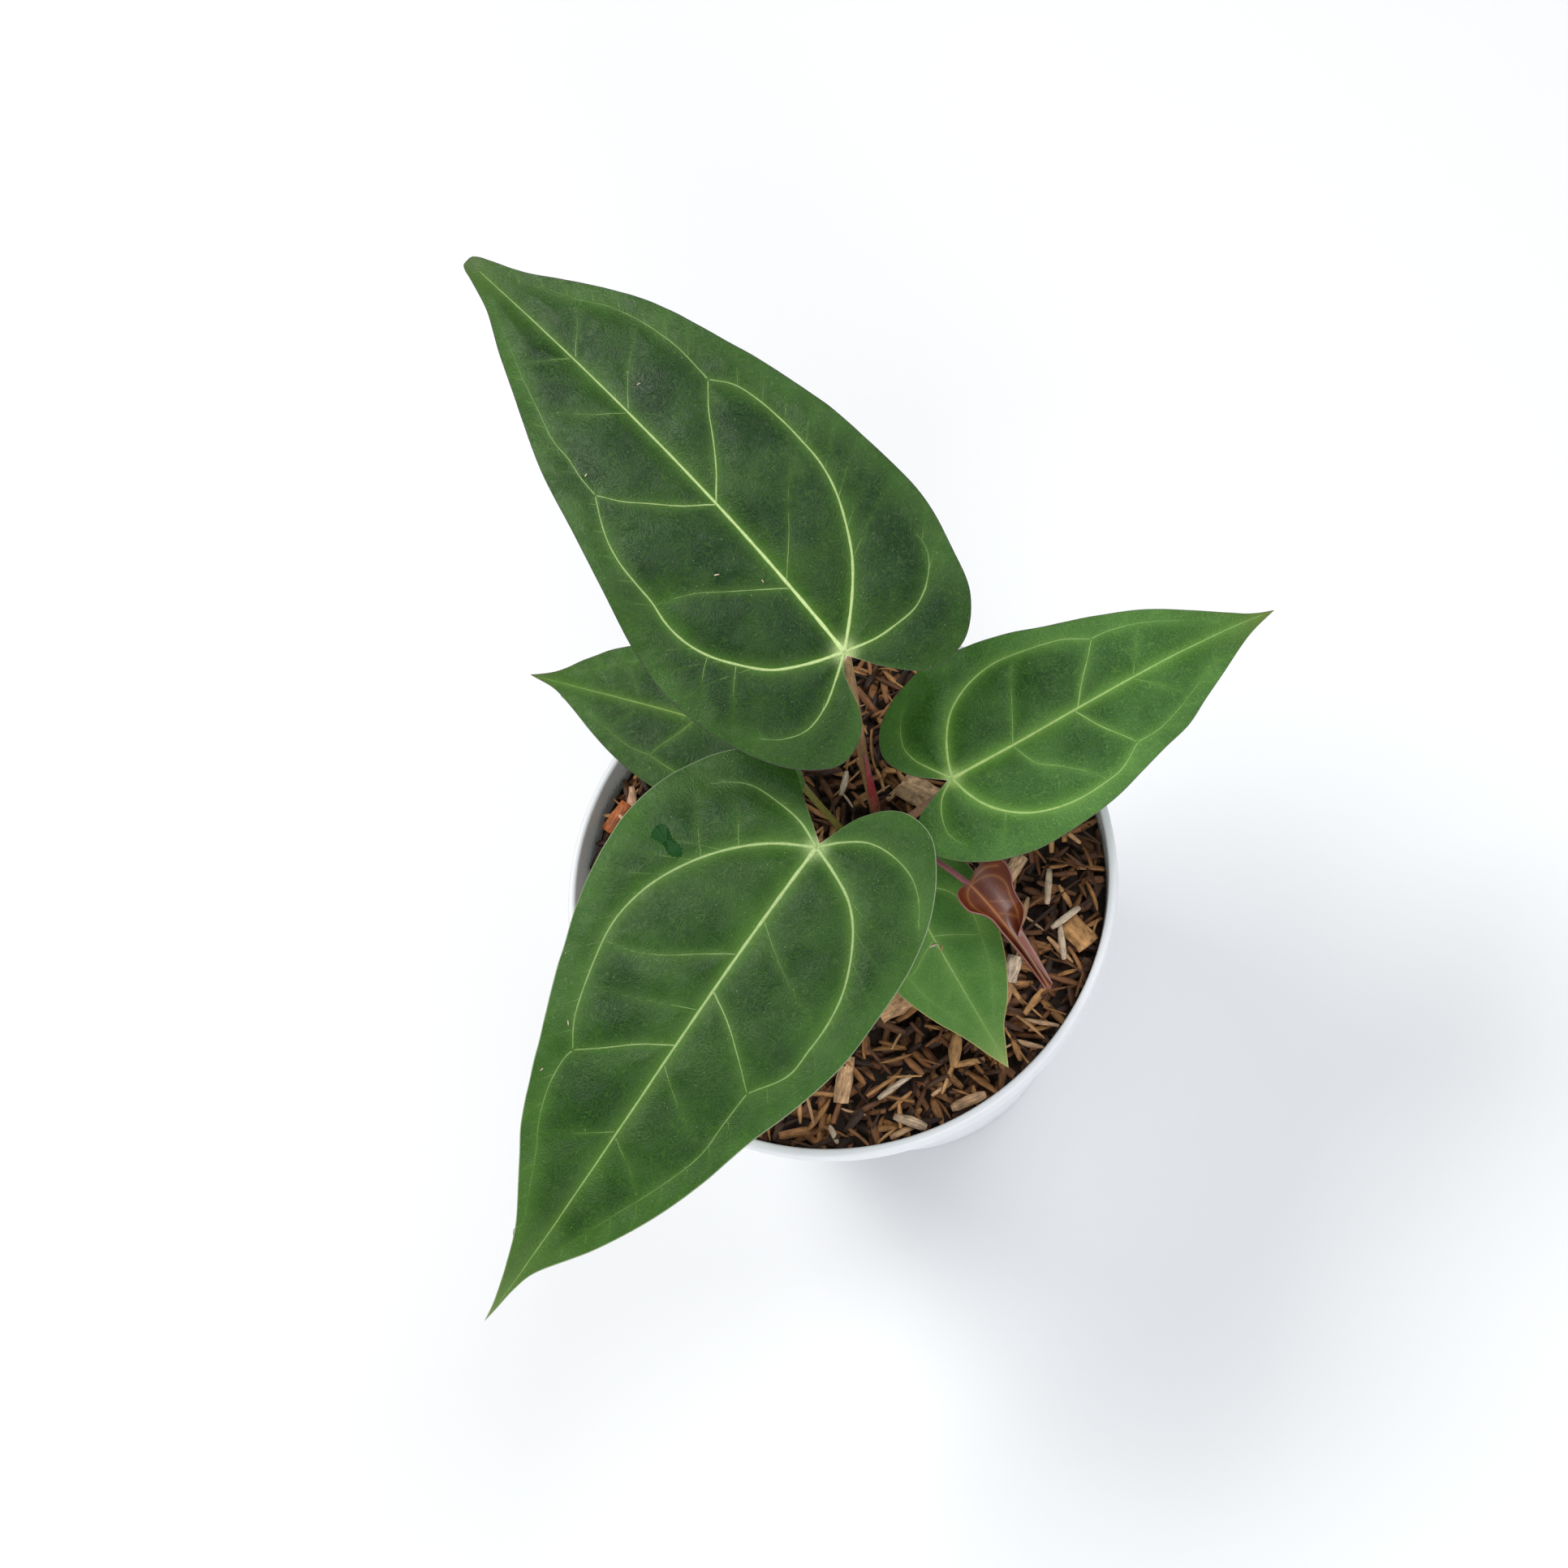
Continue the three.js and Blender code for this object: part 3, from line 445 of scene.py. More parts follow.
crown_rise = np.linspace(0, 1, 60)[:, None]
crown_angle = np.arange(48)[None, :] * np.pi / 24
crown_z = CROWN_BOTTOM + (CROWN_TOP - CROWN_BOTTOM) * crown_rise
dome = np.sqrt(np.clip(1 - ((crown_z - CROWN_TOP + 4) / 4).clip(0, 1) ** 2, 0, 1))
scar = 1 + 0.05 * np.sin(crown_z * 3.2 + 0.8 * np.sin(crown_angle * 2))
scar = scar + 0.04 * np.sin(crown_angle * 5 + crown_z)
crown_r = CROWN_RADIUS * 0.92 * dome * scar
crown_r[0] = 0
crown_x = CROWN_CENTRE[0] + crown_r * np.cos(crown_angle)
crown_y = CROWN_CENTRE[1] + crown_r * np.sin(crown_angle)
crown_points = np.stack([crown_x, crown_y, crown_z + 0 * crown_angle], axis=-1)
scarred_stem, tree, shader = finish_named("scarred_stem", roughness=0.6)
place = object_place(tree)
tree.links.new(graded(tree, noise(tree, place, 500, 4), [
    (0.3, (0.05, 0.035, 0.015, 1)), (0.55, (0.13, 0.10, 0.035, 1)), (0.75, (0.22, 0.14, 0.07, 1))]),
    shader.inputs["Base Color"])
relief(tree, shader, noise(tree, place, 900, 3), 0.0003)
crown = piece("crown", crown_points.reshape(-1, 3), net(*crown_points.shape[:2], ring=True), [scarred_stem])
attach(crown, "root")
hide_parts("stem_crown")

# Leaf blades
# Each blade grew in one piece: heart-shaped, thin and velvety, with a pale midrib and basal veins that
# meet at the stalk. `midrib` holds the control points of the midrib's curve; `left`, `right` and `veins`
# are (along, across) distances on the blade, measured from the junction, with the left side positive.
BLADE_THICKNESS = 0.42
FAN_START = 0.58
SINUS = -1.2
LEAVES = {
    "leaf_1": dict(
        midrib=[(17, 29, 206), (-12.6, 65.2, 224.9), (-48.7, 100.4, 234.2), (-81.5, 136.7, 222)],
        length=149.4, roll=(2, -4), fold=0.05, arch=0.0022, droop=0.004, wave=(1.1, 46, 0.6, 2.4, 40),
        bow=1.6,
        left=[(149.2, 1.5), (147.3, 2.4), (143.3, 3.2), (131.4, 6.2), (117, 12.3), (104, 17.4),
              (84, 25.4), (66, 30.2), (50, 34.4), (34, 38.3), (20, 39.8), (7.4, 38.2), (-5.3, 33.3),
              (-15, 26.5), (-20.6, 17.6), (-18.6, 10.2), (-14.4, 6.6), (-9.4, 4.9), (-5, 3.7), (-2.2, 2.3)],
        right=[(149.3, 1.2), (147.2, 2.7), (143.5, 3.9), (131.6, 7.5), (113, 17), (98, 23.7), (82, 28),
               (66, 32.7), (50, 36), (33, 38), (17, 39.3), (4, 36.4), (-8, 32.4), (-15.6, 24.5),
               (-16.2, 14), (-9.9, 6.2)],
        veins=[
            ("basal", [(0, 0), (3.3, 9), (7.6, 16.6), (14, 22.1), (20.2, 25.9), (26.8, 28), (33.1, 28.4),
                       (39.2, 27.6), (44.7, 27.5), (51.4, 27.1), (58, 25.6), (64, 23), (69.4, 20)]),
            ("basal", [(0, 0), (6.3, -7), (11.7, -12.3), (16.9, -16.5), (23.6, -20.4), (30.8, -23.6),
                       (38.2, -25.4), (45.5, -25.7), (52.4, -25.7), (60.5, -25), (67.3, -23.2),
                       (72.4, -19.6)]),
            ("lobe", [(0, 0), (-4, 6), (-7.5, 12.1), (-9.1, 19.1), (-6.6, 25.7), (-3.1, 29.3)]),
            ("lobe", [(0, 0), (-2.1, -8), (-2.5, -14.2), (-2.2, -19.9), (-0.1, -24.7), (3.8, -29.4),
                      (7.5, -31.6), (11.5, -31.9)]),
            ("side", [(47.4, 0), (53.8, -5.7), (59.5, -9.9), (66.4, -14.5), (72.4, -19.6)]),
            ("side", [(47.1, 0), (52.1, 6.3), (58.5, 12.2), (63, 16.2), (69.4, 20)]),
            ("edge", [(72.4, -19.6), (76.5, -19.8), (83.1, -19.9), (89, -19.4), (97.4, -18.1),
                      (105.5, -15.6), (113.6, -11.5), (124, -7.5), (133, -3.6)]),
            ("edge", [(69.4, 20), (75.5, 19.6), (81.8, 18.5), (87.9, 18.1), (96.4, 15.6),
                      (105.4, 12.9), (113.1, 10.4), (124, 6.6), (133, 3.2)]),
            ("minor", [(20, 0.3), (25.1, 7.3), (29.7, 13.3), (33.5, 18.1), (36.3, 23.3), (38.5, 28.2)]),
            ("faint", [(80.2, 0.3), (85.4, 6.3), (92.2, 12.1), (96.4, 15.6)]),
            ("faint", [(101.4, -0.3), (107.3, -6.2), (113.9, -11.2)]),
            ("faint", [(102.2, 0.3), (107, 5.9), (111.1, 10.8)]),
            ("faint", [(80.5, -0.3), (88, -7), (97.4, -18.1)]),
            ("faint", [(22, -0.3), (30, -8), (39, -16), (45.5, -25.7)]),
            ("faint", [(14, 22.1), (9, 27), (3, 32)]),
            ("faint", [(20.2, 25.9), (16, 31), (11, 34)])]),
    "leaf_2": dict(
        midrib=[(7.2, -12.4, 184), (-20.1, -51.8, 186.5), (-46.3, -92, 177.1), (-76.9, -122.4, 156)],
        length=143.1, roll=(-5, -9), fold=0.05, arch=0.0022, droop=0.004, wave=(1.1, 44, 1.2, 3.6, 44),
        left=[(132, 1), (125, 2.8), (110, 11.8), (95.6, 19), (82, 24.1), (68, 27.9), (54.4, 32.7),
              (41.5, 36), (26.7, 36.7), (11.4, 36.3), (-0.3, 33.6), (-12.4, 26.9), (-18.7, 20.3),
              (-19.4, 12), (-13, 5)],
        right=[(132.7, 2.6), (120.7, 6.6), (109, 13.1), (96.4, 21.2), (85.5, 25.6), (71, 31.1),
               (56.4, 37), (41.1, 41.8), (28.8, 43.6), (15.8, 44.4), (4.5, 41.2), (-6, 34.3),
               (-12.6, 26.4), (-13.6, 17.5), (-7.9, 9.4)],
        veins=[
            ("basal", [(0, 0), (4.6, -8.4), (10.7, -15.7), (18, -21.8), (27, -26.8), (35.9, -29.7),
                       (43, -30.5), (51.4, -29.4), (61.1, -26.9), (68.4, -24.1), (74.2, -20.4)]),
            ("basal", [(0, 0), (2.9, 7.5), (6.4, 14.2), (11.1, 19), (18.2, 23.3), (26.1, 26.4),
                       (34.1, 27.6), (41.9, 27.5), (48.9, 26.9), (58.1, 21)]),
            ("lobe", [(0, 0), (-3, -7.2), (-3.9, -14.7), (-3.8, -22), (-2.1, -26.5), (1.9, -31.9)]),
            ("lobe", [(0, 0), (-4.6, 4.5), (-8.1, 9.9), (-8.8, 16.2), (-7.1, 23.1), (-3.3, 28.1),
                      (2.8, 32.4)]),
            ("side", [(58.6, 0), (63.4, -7.4), (69, -14), (74.2, -20.4)]),
            ("side", [(42.8, 0), (46.9, 7.3), (52.7, 14.8), (58.1, 21)]),
            ("edge", [(74.2, -20.4), (77.6, -21.1), (86.2, -20.1), (94.4, -17.2), (100.1, -13.9),
                      (112, -8.4), (124, -3.8)]),
            ("edge", [(58.1, 21), (67.3, 20.4), (76.3, 20), (88, 16.2), (100, 11), (112, 6.2),
                      (122, 2.4)]),
            ("minor", [(32.3, -0.3), (37.2, -7.6), (42.2, -14.4), (46, -22), (48, -29.8)]),
            ("faint", [(48.6, -0.3), (53.3, -11.1), (57, -20), (59, -27.4)]),
            ("faint", [(85.1, 0.3), (89.3, 8), (92, 11.7), (94, 13.4)]),
            ("faint", [(84, -0.3), (90, -8), (96, -16.2)]),
            ("faint", [(64, 0.3), (70, 9), (75, 20)]),
            ("faint", [(22, 0.3), (28, 9), (33, 18), (36, 27.6)]),
            ("faint", [(18, -21.8), (10, -29), (4, -34)]),
            ("faint", [(10.7, -15.7), (4, -21), (-1, -27)])]),
    "leaf_3": dict(
        midrib=[(37.2, 11.7, 164), (66.1, 25.6, 166.2), (92.2, 44.5, 164), (118.4, 58.8, 152)],
        length=95.5, roll=(6, 10), fold=0.06, arch=0.003, droop=0.006, wave=(0.9, 34, 0.3, 2, 30),
        left=[(87.3, 2), (75.2, 8.2), (64.7, 13.9), (53.8, 18.4), (42, 22), (31, 26.2), (19.5, 28.9),
              (6, 28.9), (-3.9, 25.8), (-10.7, 20.1), (-13, 13.1), (-9.3, 5.9)],
        right=[(85.7, 3.7), (73.6, 10), (65.5, 14), (57.9, 17.8), (49.6, 19.9), (41.4, 22.3), (31, 25.2),
               (20.4, 26.3), (9.5, 26.4), (-1.5, 23.6), (-10.5, 17.8), (-14.2, 11.5), (-12.4, 6.2)],
        veins=[
            ("basal", [(0, 0), (1.5, 5.3), (3.7, 10.1), (7.3, 14.9), (12.3, 18.3), (17.8, 20.4),
                       (24.4, 21.2), (30.8, 20.3), (37.6, 18.8), (42.7, 17.2), (48.7, 13.8)]),
            ("basal", [(0, 0), (1.6, -5), (4, -9.7), (7.4, -13.7), (12.7, -17.4), (18.6, -19.5),
                       (25.2, -20.5), (31.7, -20.2), (37.4, -19.2), (44.3, -15.3)]),
            ("lobe", [(0, 0), (-3.9, 5), (-6.3, 8.7), (-7.3, 12.9), (-6.1, 17.3), (-3.4, 22)]),
            ("lobe", [(0, 0), (-4.3, -3.4), (-6.6, -8), (-7, -13), (-5, -16.9)]),
            ("side", [(36.2, 0), (40.7, 5.4), (45.1, 9.8), (48.7, 13.8)]),
            ("side", [(35, 0), (38.3, -6.6), (41.4, -11.2), (44.3, -15.3)]),
            ("edge", [(48.7, 13.8), (52.5, 13.7), (58.8, 12.4), (64.4, 10.3), (73.8, 5.9), (82, 2.4)]),
            ("edge", [(44.3, -15.3), (50.2, -15.1), (56.2, -13.6), (66, -9.6), (76, -5)]),
            ("minor", [(17.5, 0.3), (21.2, 7), (24.9, 13.8), (28.4, 19.2)]),
            ("minor", [(17.3, -0.3), (20, -7), (24.3, -10.6), (30, -16), (33, -20)]),
            ("faint", [(52.3, -0.3), (56.7, -4.8), (60.4, -8.6), (62, -11.2)]),
            ("faint", [(52.8, 0.3), (57, 6), (61, 11.4)]),
            ("faint", [(8, -14), (5, -19), (2, -22)])]),
    "leaf_4": dict(
        midrib=[(-9.6, 25.9, 154), (-34.1, 36.4, 154.9), (-59.3, 43.2, 154.2), (-82.4, 53.4, 146)],
        length=78.7, roll=(-6, -6), fold=0.06, arch=0.003, droop=0.006, wave=(0.7, 32, 0.9, 2.2, 26),
        left=[(68.5, 2.2), (60.5, 6.2), (52.8, 10.8), (43.5, 15.8), (32.3, 20.2), (20, 22.6), (9, 22.8),
              (-1, 20), (-8.5, 14.5), (-11, 8.5), (-8, 3.8)],
        right=[(68.1, 3.7), (60.9, 8.7), (53.5, 13), (43, 17), (31, 20.4), (19, 22.4), (8, 22.2),
               (-1, 19.4), (-8.5, 14), (-11, 8), (-8, 3.6)],
        veins=[
            ("basal", [(0, 0), (1.2, 4.2), (3.4, 8.4), (7.5, 12.4), (13, 15), (19, 15.8), (26, 15),
                       (33.2, 13)]),
            ("basal", [(0, 0), (1.2, -4.2), (3.4, -8.4), (7.5, -12.4), (13, -15), (19, -15.8), (27, -15),
                       (34, -13)]),
            ("lobe", [(0, 0), (-3.4, 3.6), (-5.4, 8), (-5, 13)]),
            ("lobe", [(0, 0), (-3.4, -3.6), (-5.4, -8), (-5, -13)]),
            ("side", [(24.3, 0), (27.6, 5.4), (31.2, 9.9), (33.2, 13)]),
            ("side", [(25, 0), (28.5, -5.4), (32, -10), (34, -13)]),
            ("edge", [(33.2, 13), (40, 12.2), (48, 9.2), (56, 5.6), (64, 2.4)]),
            ("edge", [(34, -13), (41, -12.6), (49, -10), (57, -6.4), (65, -2.8)]),
            ("faint", [(40, 0.2), (44, 5), (48, 9.2)]),
            ("faint", [(41, -0.2), (45, -5.4), (49, -10)])]),
    "leaf_5": dict(
        midrib=[(22.6, -9.9, 139), (31, -25.5, 137.1), (39.5, -39.6, 131.8), (47.4, -53.4, 124)],
        length=52.6, roll=(0, 4), fold=0.08, arch=0.004, droop=0.008, wave=(0.5, 26, 0.4, 2.8, 20),
        left=[(47.9, 2), (42, 4.8), (37.5, 8.4), (30.8, 12.2), (22.5, 15.3), (12.8, 16.9), (4, 17.6),
              (-3.5, 15.2), (-7.5, 10.5), (-7.8, 5.8), (-4.6, 2.6)],
        right=[(47.8, 2.5), (40.2, 6.1), (33.3, 10.2), (25.4, 13.8), (17, 16.4), (8, 17.3), (0, 16),
               (-6.2, 12), (-8.2, 7), (-5, 2.8)],
        veins=[
            ("basal", [(0, 0), (1, 3.4), (2.8, 6.8), (6, 9.8), (10.5, 11.6), (15, 11.9), (19.4, 11)]),
            ("basal", [(0, 0), (1, -3.4), (2.8, -6.8), (6, -9.8), (10.5, -11.6), (15, -11.9),
                       (20, -10.6)]),
            ("lobe", [(0, 0), (-2.6, 2.8), (-4.2, 6.2), (-3.6, 10)]),
            ("lobe", [(0, 0), (-2.6, -2.8), (-4.2, -6.2), (-3.6, -10)]),
            ("side", [(13.4, 0), (15.6, 4.6), (17.8, 8.4), (19.4, 11)]),
            ("side", [(14.4, 0), (16.8, -4.6), (19, -8), (20, -10.6)]),
            ("edge", [(19.4, 11), (25, 9.8), (31, 7.4), (37, 4.4), (42, 1.8)]),
            ("edge", [(20, -10.6), (26, -9.4), (32, -6.6), (38, -3.6), (43, -1.4)]),
            ("faint", [(25, 0.2), (27.6, 4.4), (29.6, 7.8)]),
            ("faint", [(26, -0.2), (28.8, -4), (30.8, -7)])]),
}


def bezier(control, t):
    """Point and direction on a cubic Bezier curve."""
    p0, p1, p2, p3 = np.array(control, float)
    t = np.asarray(t, float)[..., None]
    point = (1 - t) ** 3 * p0 + 3 * (1 - t) ** 2 * t * p1 + 3 * (1 - t) * t ** 2 * p2 + t ** 3 * p3
    slope = 3 * ((1 - t) ** 2 * (p1 - p0) + 2 * (1 - t) * t * (p2 - p1) + t ** 2 * (p3 - p2))
    return point, slope / np.linalg.norm(slope, axis=-1, keepdims=True)


def midrib_frame(leaf, along):
    """Point, left-hand side and normal of the blade at a distance along its midrib. The side is square
    to the midrib and level, then turned about it by the roll."""
    share = np.clip(along / leaf["length"], 0, 1)
    point, tangent = bezier(leaf["midrib"], share)
    point = point + np.minimum(along, 0)[..., None] * tangent
    side = np.cross([0, 0, 1], tangent)
    side /= np.linalg.norm(side, axis=-1, keepdims=True)
    normal = np.cross(tangent, side)
    start, end = leaf["roll"]
    roll = np.radians(start + (end - start) * share)[..., None]
    return point, side * np.cos(roll) + normal * np.sin(roll), normal * np.cos(roll) - side * np.sin(roll)


def smooth_path(points, spacing):
    """A centripetal Catmull-Rom curve through the points, cut into even steps."""
    p = np.array(points, float)
    p = np.concatenate([2 * p[:1] - p[1:2], p, 2 * p[-1:] - p[-2:-1]])
    knot = np.cumsum(np.r_[0, np.sqrt(np.linalg.norm(np.diff(p, axis=0), axis=1)).clip(1e-3)])
    i = np.repeat(np.arange(1, len(p) - 2), 16)
    t = knot[i] + (knot[i + 1] - knot[i]) * np.tile(np.arange(16) / 16, len(p) - 3)
    i, t = np.r_[i, len(p) - 3], np.r_[t, knot[-2]]

    def between(a, b, low, high):
        """A straight mix of a and b, as t goes from low to high."""
        share = ((t - low) / (high - low))[:, None]
        return a * (1 - share) + b * share

    k0, k1, k2, k3 = (knot[i + step] for step in (-1, 0, 1, 2))
    a1 = between(p[i - 1], p[i], k0, k1)
    a2 = between(p[i], p[i + 1], k1, k2)
    a3 = between(p[i + 1], p[i + 2], k2, k3)
    curve = between(between(a1, a2, k0, k2), between(a2, a3, k1, k3), k1, k2)
    length = np.cumsum(np.r_[0, np.linalg.norm(np.diff(curve, axis=0), axis=1)])
    steps = np.linspace(0, length[-1], max(2, int(round(length[-1] / spacing)) + 1))
    return np.stack([np.interp(steps, length, curve[:, k]) for k in (0, 1)], axis=-1)


# Width at the start and end in millimetres, depth of the groove, and paleness at the start and end.
VEIN_KINDS = {
    "midrib": dict(width=(1.15, 0.3), sink=1.0, pale=(1.0, 0.3)),
    "basal": dict(width=(0.95, 0.4), sink=0.95, pale=(0.88, 0.3)),
    "lobe": dict(width=(0.8, 0.25), sink=0.8, pale=(0.8, 0.05)),
    "side": dict(width=(0.5, 0.34), sink=0.65, pale=(0.55, 0.35)),
    "edge": dict(width=(0.42, 0.15), sink=0.55, pale=(0.32, 0.03)),
    "minor": dict(width=(0.4, 0.2), sink=0.7, pale=(0.42, 0.22)),
    "faint": dict(width=(0.3, 0.13), sink=0.4, pale=(0.34, 0.08)),
    "twig": dict(width=(0.24, 0.12), sink=0.22, pale=(0.22, 0.08)),
}


def nearest(path, along, across):
    """Distance from each point of the blade to a path of straight steps, and how far along it that is."""
    q = np.stack([along.ravel(), across.ravel()], axis=-1)
    best, share = np.full(len(q), np.inf), np.zeros(len(q))
    for i, (a, b) in enumerate(zip(path[:-1], path[1:])):
        step = b - a
        t = np.clip((q - a) @ step / (step @ step), 0, 1)
        distance = np.linalg.norm(q - a - t[:, None] * step, axis=1)
        share = np.where(distance < best, (i + t) / (len(path) - 1), share)
        best = np.minimum(best, distance)
    return best.reshape(along.shape), share.reshape(along.shape)


def twigs(leaf, path, hand):
    """Small veins that leave a main vein at every third point, 7.5 mm apart, and lean forward to the
    margin."""
    outline = leaf["left"] if hand > 0 else leaf["right"]
    margin = smooth_path([(leaf["length"], 0), *outline, (leaf["sinus"], 0)], 1.0) * [1, hand]
    made = []
    for start in path[3:-1:3]:
        aim = start + [7, 3 * hand]
        end = margin[np.argmin(np.linalg.norm(margin - aim, axis=1))]
        if np.linalg.norm(end - start) > 5:
            bend = 0.5 * (start + end) + [1.2, 1.2 * hand]
            made.append(("twig", smooth_path([start, bend, start + 0.86 * (end - start)], 2.5)))
    return made


def veins_of(leaf):
    """The midrib and every vein as an evenly divided path, with its kind."""
    paths = [("midrib", np.array([(0.0, 0.0), (0.965 * leaf["length"], 0.0)]))]
    paths += [(kind, smooth_path(points, 2.5)) for kind, points in leaf["veins"]]
    main = [path for kind, path in paths if kind in ("basal", "edge", "lobe")]
    return paths + [twig for path in main for twig in twigs(leaf, path, np.sign(path[:, 1].sum()))]


def vein_mark(leaf, along, across, trait, reach):
    """Strongest trace of any vein at each point: the vein's trait, falling off with distance as a bell
    curve or a plain exponential, and fading from the vein's start to its end."""
    mark = np.zeros_like(along)
    for kind, path in leaf["paths"]:
        distance, share = nearest(path, along, across)
        if trait == "pale":
            start, end = VEIN_KINDS[kind]["pale"]
            strength = (start + (end - start) * share) * np.exp(-distance / (0.4 + reach * start))
        elif trait == "spread":
            strength = VEIN_KINDS[kind]["sink"] * np.exp(-distance / reach)
        else:
            strength = VEIN_KINDS[kind]["sink"] * (1 - 0.35 * share) * np.exp(-(distance / reach) ** 2)
        mark = np.maximum(mark, strength)
    return mark


WRINKLES = np.random.default_rng(7).uniform(0, 1, (16, 3))


def wrinkles(along, across):
    """Uneven swellings: a sum of waves 4 to 22 mm long that run every way, the long ones the highest."""
    total = np.zeros_like(along)
    for turn, size, phase in WRINKLES:
        wavelength = 4 + 18 * size
        way = 2 * np.pi * turn
        distance = along * np.cos(way) + across * np.sin(way)
        total += np.sin(2 * np.pi * distance / wavelength + 6 * phase) * size ** 0.7
    return total


def blade_surface(leaf, along, across, quilt):
    """The blade's upper surface. From the midrib it rises as a shallow V, arches down to the margin, and
    waves along the margin; the lobes droop. Between veins it swells, and at each vein it sinks."""
    point, side, normal = midrib_frame(leaf, along)
    reach = np.abs(across)
    height, wavelength, left, right, half_width = leaf["wave"]
    phase = np.where(across > 0, left, right)
    lift = leaf["fold"] * reach - leaf["arch"] * reach ** 2 - leaf["droop"] * np.minimum(along, 0) ** 2
    lift += height * np.sin(2 * np.pi * along / wavelength + phase) * (reach / half_width) ** 2
    groove = vein_mark(leaf, along, across, "sink", 3.6 * leaf["scale"])
    ripple = quilt["ripple"] * wrinkles(along, across) * (1 - 0.8 * groove)
    lift += quilt["depth"] * (0.35 - groove) + ripple
    return point + across[..., None] * side + lift[..., None] * normal, normal, groove


def blade_net(leaf, columns, rows):
    """(along, across) of the blade's points. Lines run from the midrib forward to the margin, or from
    the junction into the lobe; a row of points crosses the blade from its right margin to its left. The
    last lines bow sideways where a lobe's inner margin is hollow."""
    share = np.linspace(0, 1, rows + 1)
    share = 0.45 * share + 0.55 * np.sin(0.5 * np.pi * share)
    spine = leaf["length"] * np.clip(1 - np.arange(columns + 1) / (FAN_START * columns), 0, None)
    halves = []
    for hand, outline, bow in ((-1, leaf["right"], 0), (1, leaf["left"], leaf.get("bow", 0))):
        margin = smooth_path([(leaf["length"], 0), *outline, (leaf["sinus"], 0)], 0.25)
        pick = np.linspace(0, len(margin) - 1, columns + 1)
        edge_u = np.interp(pick, np.arange(len(margin)), margin[:, 0])
        edge_v = np.interp(pick, np.arange(len(margin)), margin[:, 1])
        u = spine[:, None] + (edge_u - spine)[:, None] * share
        from_notch = 0.04 * (columns - np.arange(columns + 1))[:, None]
        bulge = 4 * bow * from_notch * np.exp(1 - from_notch) * share * (1 - share)
        v = hand * (edge_v[:, None] * share + bulge)
        from_margin = (1 - share)[None, :] * np.hypot(edge_u - spine, edge_v)[:, None]
        halves.append((u, v, from_margin))
    return [np.concatenate([right[:, :0:-1], left], axis=1) for right, left in zip(*halves)]


def blade_shell(leaf, columns, rows, quilt):
    """The blade as a closed shell: the upper net, and a lower net below it by the thickness and by the
    ribs under the veins. The blade thins towards its margin, where a strip joins the two nets."""
    u, v, from_margin = blade_net(leaf, columns, rows)
    top, normal, _ = blade_surface(leaf, u, v, quilt)
    rib = vein_mark(leaf, u, v, "sink", 0.9)
    fade = 1 - 0.75 * np.clip(u / leaf["length"], 0, 1)
    thin = 1 - 0.55 * np.exp(-(from_margin / 0.8) ** 2)
    under = top - normal * (BLADE_THICKNESS * thin + quilt["rib"] * rib * fade)[..., None]
    count, width = u.shape
    below = count * width
    faces_top = net(count, width)
    faces_under = faces_top[:, ::-1] + below
    index = np.arange(below).reshape(count, width)
    rim = []
    for column, turn in ((0, 1), (width - 1, -1)):
        a, b = index[:-1, column], index[1:, column]
        strip = np.stack([np.stack([a, b, b + below], 1), np.stack([a, b + below, a + below], 1)])
        rim.append(strip.reshape(-1, 3)[:, ::turn])
    triangles = np.concatenate([faces_top, faces_under, *rim])
    material = np.repeat([0, 1, 0], [len(faces_top), len(faces_under), sum(map(len, rim))])
    from_junction = np.hypot(u, v)
    values = {
        "halo": vein_mark(leaf, u, v, "pale", leaf["glow"]),
        "spread": vein_mark(leaf, u, v, "spread", 2.6 * leaf["scale"]),
        "rim": np.clip(from_margin / 12, 0, 1),
        "tip": np.exp((u - leaf["length"]) / (0.07 * leaf["length"])),
        "notch": np.exp(-from_junction / 7),
        "heart": np.exp(-(from_junction / (2.6 * leaf["scale"])) ** 2),
    }
    values = {key: np.tile(numbers.ravel(), 2) for key, numbers in values.items()}
    uv = np.tile(np.stack([u, v], axis=-1).reshape(-1, 2), (2, 1)) * 0.01
    points = np.concatenate([top.reshape(-1, 3), under.reshape(-1, 3)])
    return points, triangles, uv, values, material


